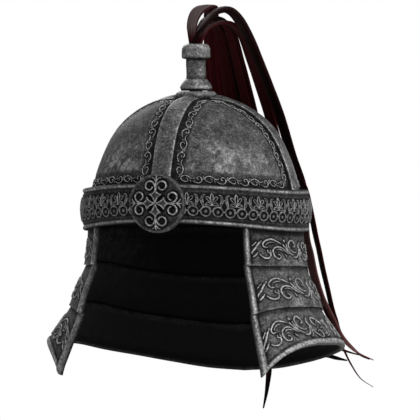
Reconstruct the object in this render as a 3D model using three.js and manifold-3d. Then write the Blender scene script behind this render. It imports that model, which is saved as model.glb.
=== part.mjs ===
// Steppe war helmet: a four-plate steel bowl under four ribs, a brow band with a
// round medallion, a turned plume socket with a long hair plume, and a neck guard
// of three overlapping lames that leaves the face open.
// Millimetres. +Z up, the face looks along -Y. The origin is on the bowl's axis,
// near the middle height of the brow band, where the head fits.
import * as THREE from "three";
import { mergeVertices } from "three/addons/utils/BufferGeometryUtils.js";
import Module from "manifold-3d";

const wasm = await Module();
wasm.setup();

// ---- driving dimensions ---------------------------------------------------
const GAP = 0.35; // clearance kept between neighbouring pieces
const STEP_DEG = 7.5; // facet width round the axis
const BOWL_WALL = 2.0;
const BOWL_RIM_Z = -15.0; // lower rim of the bowl, hidden behind the band
const BOWL_HOLE_R = 7.6; // hole at the apex for the socket's tenon
const BROW_RISE = 9.15; // how far band and rim arch up over the brow
const BROW_NARROWS = 0.0745; // the lower edge arches more than the upper one
const SEAM_HALF = 0.2; // half the gap between neighbouring bowl plates
const RIB_HALF_WIDTH = 10.3;
const RIB_CROWN = 3.4; // thickness on the rib's centre line
const RIB_EDGE = 1.5; // thickness along its edges
const RIB_TOP_R = 17.0; // the rib starts this far from the axis, under the base ring
const RIB_FOOT_Z = -1.5; // and ends here, behind the band
const BAND_HALF_HEIGHT = 21.75;
const BAND_MID_Z = 1.2; // middle of the band at the sides
const MEDALLION_R = 30.5;
const MEDALLION_Z = 10.1;
const MEDALLION_BACK_Y = -114.4;
const MEDALLION_RIM = 4.0; // thickness at the rim
const MEDALLION_DOME = 9.2; // thickness at the centre
const LAME_WALL = 1.6;
const LAME_END_DEG = 46; // each lame ends this far from straight ahead
const BORDER_WIDTH = 5.0; // rolled border along each front edge
const BORDER_PROUD = 1.1; // outside the plate
const BORDER_INSIDE = 2.6; // inside the plate
const TUCK = 2.8; // height of the flange tucked inside the piece above
const TUCK_LEAN = { upper: 0.25, middle: 0.9, lower: 1.7 }; // its lean towards the axis
const TUCK_CLEAR = 7.0; // the flange stays this far from the front edge
const TENON_R = 6.9;
const SOCKET_BORE_R = 7.8;
const SOCKET_FLOOR_Z = 142;

// Outline of the bowl's outside: distance from the axis, height.
const BOWL = [
  { r: BOWL_HOLE_R, z: 117.9 },
  { r: 26.7, z: 116.5 },
  { r: 41.7, z: 112.6 },
  { r: 52.4, z: 108.1 },
  { r: 62.1, z: 102.5 },
  { r: 72.5, z: 94.6 },
  { r: 81.8, z: 85.3 },
  { r: 89.2, z: 74.5 },
  { r: 95.2, z: 63.1 },
  { r: 103.9, z: 40.4 },
  { r: 109.0, z: 17.6 },
  { r: 110.2, z: 0 },
];

// Section of the brow band, heights from its middle, clockwise from top inside.
const BAND = [
  { r: 113.2, z: 21.75 },
  { r: 116.6, z: 21.75 },
  { r: 117.8, z: 19.5 },
  { r: 117.0, z: 17.3 },
  { r: 119.2, z: 8.7 },
  { r: 120.0, z: 0 },
  { r: 119.2, z: -8.7 },
  { r: 117.0, z: -17.3 },
  { r: 117.8, z: -19.5 },
  { r: 116.6, z: -21.75 },
  { r: 113.2, z: -21.75 },
  { r: 113.2, z: -15.8 },
  { r: 116.6, z: -8 },
  { r: 116.6, z: 8 },
  { r: 113.2, z: 15.8 },
];

// Lower edge of each lame: heights at angles from straight ahead.
const LAME_EDGES = [
  { deg: 46, upper: -53.8, middle: -104.2, lower: -167.4 },
  { deg: 50, upper: -54.1, middle: -101.8, lower: -157.2 },
  { deg: 55, upper: -54.5, middle: -99.6, lower: -148.0 },
  { deg: 60, upper: -54.7, middle: -98.0, lower: -142.0 },
  { deg: 65, upper: -54.9, middle: -97.2, lower: -138.0 },
  { deg: 70, upper: -55.1, middle: -97.0, lower: -135.9 },
  { deg: 76, upper: -55.3, middle: -97.1, lower: -134.9 },
  { deg: 92, upper: -56.0, middle: -98.0, lower: -135.6 },
  { deg: 103, upper: -57.2, middle: -99.6, lower: -138.2 },
  { deg: 110, upper: -58.6, middle: -101.4, lower: -140.6 },
  { deg: 121, upper: -62.6, middle: -106.6, lower: -146.0 },
  { deg: 136, upper: -67.6, middle: -112.4, lower: -152.6 },
  { deg: 150, upper: -70.7, middle: -116.8, lower: -159.4 },
  { deg: 165, upper: -72.7, middle: -121.2, lower: -166.0 },
  { deg: 180, upper: -73.2, middle: -123.6, lower: -168.8 },
];

// Outside radius of each lame from its top (t = 0) to its lower edge (t = 1).
const LAME_FLARE = {
  upper: [
    { t: 0, r: 112.4 },
    { t: 0.4, r: 113.4 },
    { t: 1, r: 116.4 },
  ],
  middle: [
    { t: 0, r: 114.4 },
    { t: 0.25, r: 119.2 },
    { t: 0.5, r: 124.3 },
    { t: 0.75, r: 128.4 },
    { t: 1, r: 131.9 },
  ],
  lower: [
    { t: 0, r: 129.9 },
    { t: 0.25, r: 136.0 },
    { t: 0.5, r: 142.8 },
    { t: 0.75, r: 149.3 },
    { t: 0.86, r: 152.2 },
    { t: 1, r: 154.6 },
  ],
};

// Locks of the plume. turn: heading, degrees from +X towards +Y; root: where it
// stands in the socket (x, y); apex: reach and height of the top of its arch;
// spread: how far its fall lies outside HANG; keep: how many rows of HANG it
// follows; ends: its way below them (reach, height, sideways drift); rise: the way
// up to its top (x, y, z), where that isn't along the heading; wide: widths
// along it, at the parts of its length in LOCK_AT; belly: how much thicker its
// under side is than its upper side there.
const LOCK_AT = [0, 0.05, 0.1, 0.2, 0.3, 0.42, 0.56, 0.7, 0.84, 1];
const EVEN = [1, 1, 1, 1, 1, 1, 1, 1, 1, 1];
const LOCKS = [
  { name: "side_outer", turn: 43.5, root: [-3.4, -1.2], apex: [36.4, 212], spread: 0, keep: 6,
    ends: [[125, -24, 0], [130, -45, 0], [134.6, -66, 0], [141.4, -87, 0], [147.2, -99, 0], [155, -113, 0], [161.5, -125, 0], [172.6, -138.8, 0], [185.1, -149.2, 0], [203.2, -157.2, 0]],
    wide: [3.6, 4.6, 9, 15, 21, 22, 19, 18, 17, 1.6], belly: [1, 1, 1.5, 3.6, 3.8, 2.4, 1, 1, 1, 1] },
  { name: "side_inner", turn: 57, root: [4.2, 1.5], apex: [40, 197.5], spread: 0.4, keep: 10,
    ends: [[166, -140, -8], [172, -145.5, -23], [180, -149.5, -32], [190, -153, -41]],
    wide: [3.6, 4.6, 8, 11, 13, 15.5, 18.5, 15, 9, 1.6], belly: [1, 1, 1, 1.4, 1.4, 1, 1, 1, 1, 1] },
  { name: "back_right", turn: 73, root: [1.2, 2.8], apex: [36, 202], spread: 0.8, keep: 11,
    ends: [[170, -149, -4], [173, -158, -12]],
    wide: [3.6, 4.6, 7, 11, 16, 18, 19, 16, 10, 1], belly: EVEN },
  { name: "back_middle", turn: 84, root: [-1.4, 3.2], apex: [34, 201], spread: 0.4, keep: 10,
    ends: [[163, -142, -3], [165.5, -165, -5.5], [165, -188, -3.5], [163.5, -206, 0]],
    wide: [3.6, 4.6, 7, 11, 16, 19, 20, 16, 9, 1], belly: EVEN },
  { name: "back_left", turn: 96, root: [-4.2, 0.2], apex: [27, 211.5], spread: 0.8, keep: 11,
    rise: [[-4.4, 0.8, 196], [0, 8, 209.4], [9, 24, 213.6]],
    ends: [[169, -149, 1], [170, -156, 2]],
    wide: [3.6, 4.6, 8, 13, 15, 18, 18, 15, 10, 1], belly: EVEN },
];
// Strands that part from a lock: heading, width, and the way down from inside it
// (reach, height, sideways drift).
const STRANDS = [
  { turn: 43.5, wide: 9.5, way: [[118, 32, -7], [124, 18, -7], [135.4, -24, -2], [140.4, -40, 0], [145.2, -61, 0], [150.4, -81.5, 0], [155.6, -102.3, 0], [160, -114, 0], [165, -128, 0]] },
  { turn: 57, wide: 12, way: [[146.5, -92, 0], [152, -106, 0], [160, -130, 2], [165, -149, 0.5], [175, -154.6, -8.8], [185, -158.2, -19.6]] },
];
// The fall of a lock: its distance from the bowl's axis at heights below the arch.
const HANG = [
  { z: 183, reach: 60.5 },
  { z: 158, reach: 71.6 },
  { z: 133, reach: 82.4 },
  { z: 100, reach: 96 },
  { z: 60, reach: 109.2 },
  { z: 22, reach: 122.6 },
  { z: -24, reach: 132.6 },
  { z: -66, reach: 142 },
  { z: -104, reach: 151.4 },
  { z: -126, reach: 159.4 },
  { z: -140, reach: 168 },
];
const LOCK_THICK = 3.4;

// ---- helpers --------------------------------------------------------------
const rad = (d) => (d * Math.PI) / 180;

function lookUp(table, key, value, at) {
  if (at <= table[0][key]) return table[0][value];
  for (let i = 1; i < table.length; i++)
    if (at <= table[i][key]) {
      const a = table[i - 1], b = table[i];
      const f = (at - a[key]) / (b[key] - a[key]);
      return a[value] + f * (b[value] - a[value]);
    }
  return table[table.length - 1][value];
}

// How far the brow is raised at an angle from straight ahead and a height on the band.
function browRise(deg, z) {
  const c = Math.cos(rad(deg));
  return c <= 0 ? 0 : (BROW_RISE - BROW_NARROWS * z) * c * c;
}

// A point at a distance from the axis, an angle from straight ahead and a height.
const around = (r, deg, z) =>
  new THREE.Vector3(r * Math.sin(rad(deg)), -r * Math.cos(rad(deg)), z);

// A closed surface through equal loops of points, one after the other. outline
// gives the flat shape of the two end loops, or null where the last meets the first.
function loft(loops, outline) {
  const n = loops[0].length, m = loops.length, pos = [], tri = [];
  for (const loop of loops) for (const p of loop) pos.push(p.x, p.y, p.z);
  const last = outline ? m - 1 : m;
  for (let i = 0; i < last; i++)
    for (let j = 0; j < n; j++) {
      const a = i * n + j, b = i * n + ((j + 1) % n);
      const c = ((i + 1) % m) * n + j, d = ((i + 1) % m) * n + ((j + 1) % n);
      tri.push(a, b, d, a, d, c);
    }
  if (outline) {
    const facing = THREE.ShapeUtils.isClockWise(outline[0]) ? [0, 1, 2] : [2, 1, 0];
    const away = [...facing].reverse();
    for (const t of THREE.ShapeUtils.triangulateShape(outline[0], []))
      tri.push(...facing.map((k) => t[k]));
    for (const t of THREE.ShapeUtils.triangulateShape(outline[1], []))
      tri.push(...away.map((k) => t[k] + last * n));
  }
  const g = new THREE.BufferGeometry();
  g.setAttribute("position", new THREE.Float32BufferAttribute(pos, 3));
  g.setIndex(tri);
  return facingOut(g);
}

function facingOut(g) {
  const p = g.getAttribute("position"), ix = g.getIndex().array;
  const a = new THREE.Vector3(), b = new THREE.Vector3(), c = new THREE.Vector3();
  let volume = 0;
  for (let i = 0; i < ix.length; i += 3) {
    a.fromBufferAttribute(p, ix[i]);
    b.fromBufferAttribute(p, ix[i + 1]);
    c.fromBufferAttribute(p, ix[i + 2]);
    volume += a.dot(b.cross(c));
  }
  if (volume < 0) {
    const turned = Array.from(ix);
    for (let i = 0; i < turned.length; i += 3)
      [turned[i + 1], turned[i + 2]] = [turned[i + 2], turned[i + 1]];
    g.setIndex(turned);
  }
  return g;
}

// Shared corners merged, and the empty triangles that this leaves on the axis dropped.
function welded(geometry) {
  const g = geometry.clone();
  g.deleteAttribute("normal");
  g.deleteAttribute("uv");
  const m = mergeVertices(g, 1e-4), ix = m.index.array, kept = [];
  for (let i = 0; i < ix.length; i += 3)
    if (ix[i] !== ix[i + 1] && ix[i + 1] !== ix[i + 2] && ix[i + 2] !== ix[i])
      kept.push(ix[i], ix[i + 1], ix[i + 2]);
  m.setIndex(kept);
  return m;
}

function solid(geometry) {
  const m = welded(geometry);
  return new wasm.Manifold(
    new wasm.Mesh({
      numProp: 3,
      vertProperties: new Float32Array(m.attributes.position.array),
      triVerts: new Uint32Array(m.index.array),
    }),
  );
}

function geometryOf(manifold) {
  const m = manifold.getMesh(), g = new THREE.BufferGeometry();
  const xyz = new Float32Array((m.vertProperties.length / m.numProp) * 3);
  for (let i = 0; i < xyz.length / 3; i++)
    for (let k = 0; k < 3; k++) xyz[3 * i + k] = m.vertProperties[i * m.numProp + k];
  g.setAttribute("position", new THREE.BufferAttribute(xyz, 3));
  g.setIndex(Array.from(m.triVerts));
  return g;
}

// A turned solid from rows of { r, z }. three.js turns a profile about Y.
function turned(rows, segments) {
  const g = new THREE.LatheGeometry(
    rows.map((p) => new THREE.Vector2(p.r, p.z)),
    segments,
  );
  g.rotateX(Math.PI / 2);
  return facingOut(welded(g));
}

// ---- materials ------------------------------------------------------------
const steel = (name, color, roughness) =>
  new THREE.MeshStandardMaterial({ name, color, roughness, metalness: 0.8 });
const platesSteel = steel("bowl_steel", 0x5e5e5e, 0.5);
const ribSteel = steel("rib_steel", 0x686868, 0.45);
const bandSteel = steel("chased_steel", 0x474747, 0.5);
const lameSteel = steel("lame_steel", 0x585858, 0.5);
const socketSteel = steel("socket_steel", 0x6c6c6c, 0.42);
const hair = new THREE.MeshStandardMaterial({
  name: "dyed_hair", color: 0x240a0a, roughness: 0.6, metalness: 0,
});

const helmet = new THREE.Group();
function add(name, geometry, material, parent = helmet) {
  const mesh = new THREE.Mesh(geometry, material);
  mesh.name = name;
  parent.add(mesh);
  return mesh;
}

// ---- bowl -----------------------------------------------------------------
// Outside and inside outlines of the bowl's wall, top first. The last row is the
// rim, which follows the brow.
function offsetOutline(by) {
  return BOWL.map((p, i) => {
    const a = BOWL[Math.max(i - 1, 0)], b = BOWL[Math.min(i + 1, BOWL.length - 1)];
    let nr = -(b.z - a.z), nz = b.r - a.r;
    if (i === 0) [nr, nz] = [0.05, 1];
    if (i === BOWL.length - 1) [nr, nz] = [1, 0];
    const l = Math.hypot(nr, nz);
    return { r: Math.max(p.r + (by * nr) / l, BOWL_HOLE_R), z: p.z + (by * nz) / l };
  });
}

function bowlPlate(fromDeg) {
  const outer = offsetOutline(0), inner = offsetOutline(-BOWL_WALL);
  const loops = [], count = 90 / STEP_DEG;
  for (let i = 0; i <= count; i++) {
    const deg = fromDeg + i * STEP_DEG;
    const rim = BOWL_RIM_Z + browRise(deg, BOWL_RIM_Z);
    // The two side faces stay parallel to the seam, half a gap from it.
    const place = (p) => {
      const shift = (Math.asin(SEAM_HALF / p.r) * 180) / Math.PI;
      const d = i === 0 ? deg + shift : i === count ? deg - shift : deg;
      return around(p.r, d, p.z);
    };
    loops.push([
      ...outer.map(place),
      place({ r: 110.2, z: rim }),
      place({ r: 108.2, z: rim }),
      ...[...inner].reverse().map(place),
    ]);
  }
  const flat = (deg) => {
    const rim = BOWL_RIM_Z + browRise(deg, BOWL_RIM_Z);
    return [
      ...outer, { r: 110.2, z: rim }, { r: 108.2, z: rim }, ...[...inner].reverse(),
    ].map((p) => new THREE.Vector2(p.r, p.z));
  };
  return loft(loops, [flat(fromDeg), flat(fromDeg + 90)]);
}

add("bowl_plate_front_left", bowlPlate(0), platesSteel);
add("bowl_plate_back_left", bowlPlate(90), platesSteel);
add("bowl_plate_back_right", bowlPlate(180), platesSteel);
add("bowl_plate_front_right", bowlPlate(270), platesSteel);

// ---- ribs -----------------------------------------------------------------
// A crowned strip of even width that lies on the bowl from the base ring to
// behind the band. grow widens and thickens it, for cutting its seat.
function rib(atDeg, grow = 0) {
  const rows = [{ r: RIB_TOP_R - grow, z: 117.3 }, { r: 22, z: 116.9 }]
    .concat(BOWL.filter((p) => p.r > 25))
    .concat([{ r: 110.2, z: RIB_FOOT_Z }]);
  const loops = rows.map((p, i) => {
    const a = rows[Math.max(i - 1, 0)], b = rows[Math.min(i + 1, rows.length - 1)];
    let nr = a.z - b.z, nz = b.r - a.r;
    const l = Math.hypot(nr, nz);
    nr /= l;
    nz /= l;
    const half = (i === 0 ? 8.2 : RIB_HALF_WIDTH) + grow;
    const point = (across, out) => {
      const turn = (Math.asin(Math.min(across / p.r, 0.95)) * 180) / Math.PI;
      return around(p.r + out * nr, atDeg + turn, p.z + out * nz);
    };
    const low = GAP - grow * 1.5, edge = GAP + RIB_EDGE + grow;
    const mid = GAP + (RIB_EDGE + RIB_CROWN) / 2 + 0.35 + grow;
    const top = GAP + RIB_CROWN + grow;
    return [
      point(-half, low), point(-half, edge), point(-half * 0.55, mid),
      point(0, top), point(half * 0.55, mid), point(half, edge),
      point(half, low), point(0, low),
    ];
  });
  const half = RIB_HALF_WIDTH;
  const flat = [
    [-half, 0], [-half, RIB_EDGE], [-half * 0.55, 2.9], [0, RIB_CROWN],
    [half * 0.55, 2.9], [half, RIB_EDGE], [half, 0], [0, -0.01],
  ].map(([x, y]) => new THREE.Vector2(x, y));
  return loft(loops, [flat, flat]);
}
const RIB_AT = { rib_front: 0, rib_left: 90, rib_back: 180, rib_right: 270 };
for (const [name, deg] of Object.entries(RIB_AT)) add(name, rib(deg), ribSteel);

// ---- brow band and medallion ----------------------------------------------
function band(grow, filled) {
  const loops = [];
  const rows = BAND.map((p) => ({ r: p.r + grow, z: p.z * (1 + grow / BAND_HALF_HEIGHT) }))
    .filter((p, i) => !filled || i < 11)
    .map((p, i) => (filled && (i === 0 || i === 10) ? { r: 100, z: p.z } : p));
  for (let deg = 0; deg < 360; deg += STEP_DEG)
    loops.push(rows.map((p) => around(p.r, deg, p.z + BAND_MID_Z + browRise(deg, p.z))));
  return loft(loops, null);
}
add("brow_band", band(0, false), bandSteel);

const disc = turned(
  [
    { r: 0, z: 0 },
    { r: MEDALLION_R - 0.8, z: 0 },
    { r: MEDALLION_R, z: 0.8 },
    { r: MEDALLION_R, z: MEDALLION_RIM - 1.2 },
    { r: MEDALLION_R - 1.2, z: MEDALLION_RIM },
    { r: 22, z: 6.3 },
    { r: 11, z: 8.4 },
    { r: 0, z: MEDALLION_DOME },
  ],
  40,
);
disc.rotateX(Math.PI / 2);
disc.translate(0, MEDALLION_BACK_Y, MEDALLION_Z);
add(
  "medallion",
  geometryOf(solid(disc).subtract(solid(band(GAP + 0.1, true)))),
  bandSteel,
);

// ---- plume socket ---------------------------------------------------------
const baseRing = turned(
  [
    { r: TENON_R + GAP, z: 112 },
    { r: 21.7, z: 112 },
    { r: 21.7, z: 121.3 },
    { r: 20.7, z: 123.6 },
    { r: 18.4, z: 125.2 },
    { r: TENON_R + GAP, z: 125.2 },
    { r: TENON_R + GAP, z: 112 },
  ],
  36,
);
const overBowl = turned(
  [{ r: 0, z: 90 }, { r: 60, z: 90 }, { r: 60, z: 104.2 }]
    .concat([...BOWL].reverse().filter((p) => p.r < 60).map((p) => ({ r: p.r, z: p.z + GAP })))
    .concat([{ r: 0, z: 118.3 }]),
  48,
);
let ringSolid = solid(baseRing).subtract(solid(overBowl));
for (const deg of Object.values(RIB_AT))
  ringSolid = ringSolid.subtract(solid(rib(deg, 0.4)));
add("base_ring", geometryOf(ringSolid), socketSteel);

add(
  "plume_socket",
  turned(
    [
      { r: 0, z: 110.5 },
      { r: TENON_R, z: 110.5 },
      { r: TENON_R, z: 125.6 },
      { r: 16.2, z: 125.6 },
      { r: 16.6, z: 127.6 },
      { r: 16.3, z: 129.3 },
      { r: 14.4, z: 132.8 },
      { r: 11.2, z: 136.4 },
      { r: 10.3, z: 138.0 },
      { r: 10.3, z: 159.6 },
      { r: 14.3, z: 159.6 },
      { r: 14.9, z: 162.5 },
      { r: 14.8, z: 168.4 },
      { r: 13.4, z: 171.9 },
      { r: 10.6, z: 174.2 },
      { r: SOCKET_BORE_R, z: 174.6 },
      { r: SOCKET_BORE_R, z: SOCKET_FLOOR_Z },
      { r: 0, z: SOCKET_FLOOR_Z },
    ],
    32,
  ),
  socketSteel,
);

// ---- neck guard -----------------------------------------------------------
// One lame: a flange tucked inside the piece above, a flaring plate, a rolled
// border along each front edge and, on the lowest, along the bottom.
function lame(which, above, edgeRoll) {
  const flare = LAME_FLARE[which];
  const border = (BORDER_WIDTH / 114) * (180 / Math.PI);
  const starts = [LAME_END_DEG, LAME_END_DEG + border, LAME_END_DEG + border + 0.3,
    LAME_END_DEG + (TUCK_CLEAR / 114) * (180 / Math.PI)];
  const half = [...starts];
  for (let d = 52.5; d <= 180; d += STEP_DEG) half.push(d);
  const degs = [...half, ...[...half].reverse().slice(1).map((d) => 360 - d)];
  const stations = degs.map((deg, i) => {
    const fromEnd = Math.min(i, degs.length - 1 - i);
    const d = deg > 180 ? 360 - deg : deg;
    const bottom = lookUp(LAME_EDGES, "deg", which, d);
    const top = above(d) - 0.7;
    const rolled = fromEnd < 2;
    const tuckTop = fromEnd < 3 ? top + 0.25 : above(d) + TUCK;
    const proud = rolled ? BORDER_PROUD : 0, inside = rolled ? BORDER_INSIDE : 0;
    const lean = fromEnd < 3 ? 0 : TUCK_LEAN[which];
    const out = [{ r: flare[0].r - lean + proud, z: tuckTop }];
    const inn = [{ r: flare[0].r - lean - LAME_WALL - inside, z: tuckTop }];
    for (const row of flare) {
      const z = top + (bottom - top) * row.t;
      const roll = edgeRoll && row.t > 0.85;
      out.push({ r: row.r + Math.max(proud, roll && row.t < 0.99 ? 1.3 : 0), z });
      inn.push({ r: row.r - LAME_WALL - Math.max(inside, roll ? BORDER_INSIDE : 0), z });
    }
    return { deg, rows: [...out, ...inn.reverse()] };
  });
  const loops = stations.map((s) => s.rows.map((p) => around(p.r, s.deg, p.z)));
  const flat = stations[0].rows.map((p) => new THREE.Vector2(p.r, p.z));
  return loft(loops, [flat, flat]);
}
const underBand = (d) => BAND_MID_Z - BAND_HALF_HEIGHT + browRise(d, -BAND_HALF_HEIGHT);
add("lame_upper", lame("upper", underBand, false), lameSteel);
add("lame_middle", lame("middle", (d) => lookUp(LAME_EDGES, "deg", "upper", d), false), lameSteel);
add("lame_lower", lame("lower", (d) => lookUp(LAME_EDGES, "deg", "middle", d), true), lameSteel);

// ---- plume ----------------------------------------------------------------
// A flat tapering band of hair along a smooth curve through points. wide, thick
// and belly are functions of the part of its length.
const HAIR_SECTION = [[0.5, 0], [0.3, 0.5], [-0.3, 0.5], [-0.5, 0], [-0.3, -0.5], [0.3, -0.5]];
function hairBand(points, side, steps, wide, thick, belly) {
  const curve = new THREE.CatmullRomCurve3(points, false, "centripetal");
  const loops = [];
  for (let i = 0; i <= steps; i++) {
    const f = i / steps, p = curve.getPoint(f), t = curve.getTangent(f);
    const n = new THREE.Vector3().crossVectors(side, t).normalize();
    const w = new THREE.Vector3().crossVectors(t, n).normalize();
    loops.push(
      HAIR_SECTION.map(([u, v]) =>
        p.clone().addScaledVector(w, u * wide(f)).addScaledVector(n, v * thick(f) * (v > 0 ? belly(f) : 1)),
      ),
    );
  }
  const flat = HAIR_SECTION.map(([u, v]) => new THREE.Vector2(u * 4, v * 4));
  return loft(loops, [flat, flat]);
}
function heading(turn) {
  const out = new THREE.Vector3(Math.cos(rad(turn)), Math.sin(rad(turn)), 0);
  const side = new THREE.Vector3(-out.y, out.x, 0);
  const at = (reach, z, drift = 0) =>
    out.clone().multiplyScalar(reach).addScaledVector(side, drift).setZ(z);
  return { side, at };
}
function lock(row) {
  const { side, at } = heading(row.turn);
  const root = (z) => new THREE.Vector3(row.root[0], row.root[1], z);
  const [ax, az] = row.apex;
  const points = [
    root(152), root(174),
    ...(row.rise
      ? row.rise.map(([x, y, z]) => new THREE.Vector3(x, y, z))
      : [at(ax * 0.3, 174 + (az - 174) * 0.62), at(ax * 0.62, az - (az - 174) * 0.08), at(ax, az)]),
    at(ax + (HANG[0].reach - ax) * 0.52, az - (az - HANG[0].z) * 0.32),
    ...HANG.slice(0, row.keep).map((h) => at(h.reach + row.spread, h.z)),
    ...row.ends.map(([reach, z, drift]) => at(reach, z, drift)),
  ];
  const along = (values) => (f) =>
    lookUp(LOCK_AT.map((a, k) => ({ at: a, w: values[k] })), "at", "w", f);
  const thick = (f) => (f < 0.8 ? LOCK_THICK : THREE.MathUtils.lerp(LOCK_THICK, 0.9, (f - 0.8) / 0.2));
  return hairBand(points, side, 28, along(row.wide), thick, along(row.belly));
}
function strand(row) {
  const { side, at } = heading(row.turn);
  const shape = (f) => lookUp([{ at: 0, w: 0.5 }, { at: 0.15, w: 1 }, { at: 0.6, w: 0.9 }, { at: 1, w: 0.16 }], "at", "w", f);
  return hairBand(
    row.way.map(([reach, z, drift]) => at(reach, z, drift)), side, 12,
    (f) => row.wide * shape(f), (f) => 2.8 * Math.max(shape(f), 0.35), () => 1,
  );
}
let plume = solid(
  turned([{ r: 0, z: 146 }, { r: 7.2, z: 146 }, { r: 7.2, z: 174 }, { r: 5.5, z: 179 }, { r: 0, z: 181 }], 16),
);
for (const row of LOCKS) plume = plume.add(solid(lock(row)));
for (const row of STRANDS) plume = plume.add(solid(strand(row)));
add("plume", geometryOf(plume), hair);

export default helmet;
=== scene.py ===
import math

import bpy
import numpy as np
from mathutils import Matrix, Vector
from mathutils.kdtree import KDTree


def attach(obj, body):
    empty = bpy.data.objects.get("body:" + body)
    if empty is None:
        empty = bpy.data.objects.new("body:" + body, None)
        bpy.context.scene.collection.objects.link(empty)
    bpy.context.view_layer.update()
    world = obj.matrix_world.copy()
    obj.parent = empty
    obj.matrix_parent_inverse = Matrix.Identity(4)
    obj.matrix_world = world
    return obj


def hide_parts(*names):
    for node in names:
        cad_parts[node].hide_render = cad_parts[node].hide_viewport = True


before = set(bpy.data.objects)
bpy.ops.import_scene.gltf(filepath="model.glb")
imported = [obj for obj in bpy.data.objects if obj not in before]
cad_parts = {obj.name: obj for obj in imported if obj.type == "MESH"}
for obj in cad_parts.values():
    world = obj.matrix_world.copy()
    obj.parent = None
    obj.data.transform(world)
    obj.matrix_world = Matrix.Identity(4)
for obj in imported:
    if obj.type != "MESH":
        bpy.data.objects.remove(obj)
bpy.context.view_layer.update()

# ---------------------------------------------------------------------------
# Sizes in millimetres, as in the CAD model. Angles are degrees from straight
# ahead (-Y), growing towards +X.
# ---------------------------------------------------------------------------
BOWL = np.array([
    (110.2, -16.0), (110.2, 0.0), (109.0, 17.6), (103.9, 40.4), (95.2, 63.1), (89.2, 74.5),
    (81.8, 85.3), (72.5, 94.6), (62.1, 102.5), (52.4, 108.1), (41.7, 112.6),
    (26.7, 116.5), (7.7, 117.9),
])
BROW_RISE, BROW_NARROWS = 9.15, 0.0745
RIB_HALF = 10.3
VINE_FROM_RIB = 18.7      # centre of the vine strip from the rib's centre line
VINE_Z = 28.6             # its height at the sides
BAND_HALF, BAND_MID = 21.75, 1.2
LAME_END = 46.0
LAME_EDGES = np.array([
    # deg, upper, middle, lower
    (46, -53.8, -104.2, -167.4), (50, -54.1, -101.8, -157.2), (55, -54.5, -99.6, -148.0),
    (60, -54.7, -98.0, -142.0), (65, -54.9, -97.2, -138.0), (70, -55.1, -97.0, -135.9),
    (76, -55.3, -97.1, -134.9), (92, -56.0, -98.0, -135.6), (103, -57.2, -99.6, -138.2),
    (110, -58.6, -101.4, -140.6), (121, -62.6, -106.6, -146.0), (136, -67.6, -112.4, -152.6),
    (150, -70.7, -116.8, -159.4), (165, -72.7, -121.2, -166.0), (180, -73.2, -123.6, -168.8),
])
LAME_FLARE = {
    "upper": [(0, 112.4), (0.4, 113.4), (1, 116.4)],
    "middle": [(0, 114.4), (0.25, 119.2), (0.5, 124.3), (0.75, 128.4), (1, 131.9)],
    "lower": [(0, 129.9), (0.25, 136.0), (0.5, 142.8), (0.75, 149.3), (0.86, 152.2), (1, 154.6)],
}
RNG = np.random.default_rng(7)


# ---------------------------------------------------------------------------
# Small tools
# ---------------------------------------------------------------------------
def spline(points, count, closed=False):
    """Even points on a smooth curve through the given ones."""
    p = np.asarray(points, float)
    if closed:
        q = np.vstack([p[-1], p, p[0], p[1]])
    else:
        q = np.vstack([2 * p[0] - p[1], p, 2 * p[-1] - p[-2]])
    out = []
    for i in range(1, len(q) - 2):
        t = np.linspace(0, 1, 12, endpoint=False)[:, None]
        a, b, c, d = q[i - 1], q[i], q[i + 1], q[i + 2]
        out.append(0.5 * (2 * b + (c - a) * t + (2 * a - 5 * b + 4 * c - d) * t**2 + (3 * b - a - 3 * c + d) * t**3))
    out = np.vstack(out + [q[-2][None]])
    seg = np.r_[0, np.cumsum(np.linalg.norm(np.diff(out, axis=0), axis=1))]
    at = np.linspace(0, seg[-1], count + 1)[:-1] if closed else np.linspace(0, seg[-1], count)
    return np.column_stack([np.interp(at, seg, out[:, k]) for k in range(out.shape[1])])


def ease(x, lo, hi):
    t = np.clip((np.asarray(x, float) - lo) / (hi - lo), 0, 1)
    return t * t * (3 - 2 * t)


def brow(deg, z):
    """How far the brow arches up at an angle and a height on the band."""
    return (BROW_RISE - BROW_NARROWS * z) * np.clip(np.cos(np.radians(deg)), 0, 1) ** 2


def around(r, deg, z):
    a = np.radians(deg)
    return np.stack([r * np.sin(a), -r * np.cos(a), z + 0 * a], axis=-1)


def value_noise(p, cell, seed):
    """Smooth seeded noise of 3-D points, about -1 to 1."""
    q = np.asarray(p, float) / cell
    i = np.floor(q).astype(np.int64)
    f = q - i
    f = f * f * (3 - 2 * f)
    total = 0
    for dx in (0, 1):
        for dy in (0, 1):
            for dz in (0, 1):
                h = (i[..., 0] + dx) * 73856093 ^ (i[..., 1] + dy) * 19349663 ^ (i[..., 2] + dz) * 83492791 ^ seed * 2654435
                h = (h ^ (h >> 13)) * 1274126177 & 0x7FFFFFFF
                v = (h % 10007) / 5003.5 - 1
                w = (f[..., 0] if dx else 1 - f[..., 0]) * (f[..., 1] if dy else 1 - f[..., 1]) * (f[..., 2] if dz else 1 - f[..., 2])
                total = total + w * v
    return total


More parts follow.
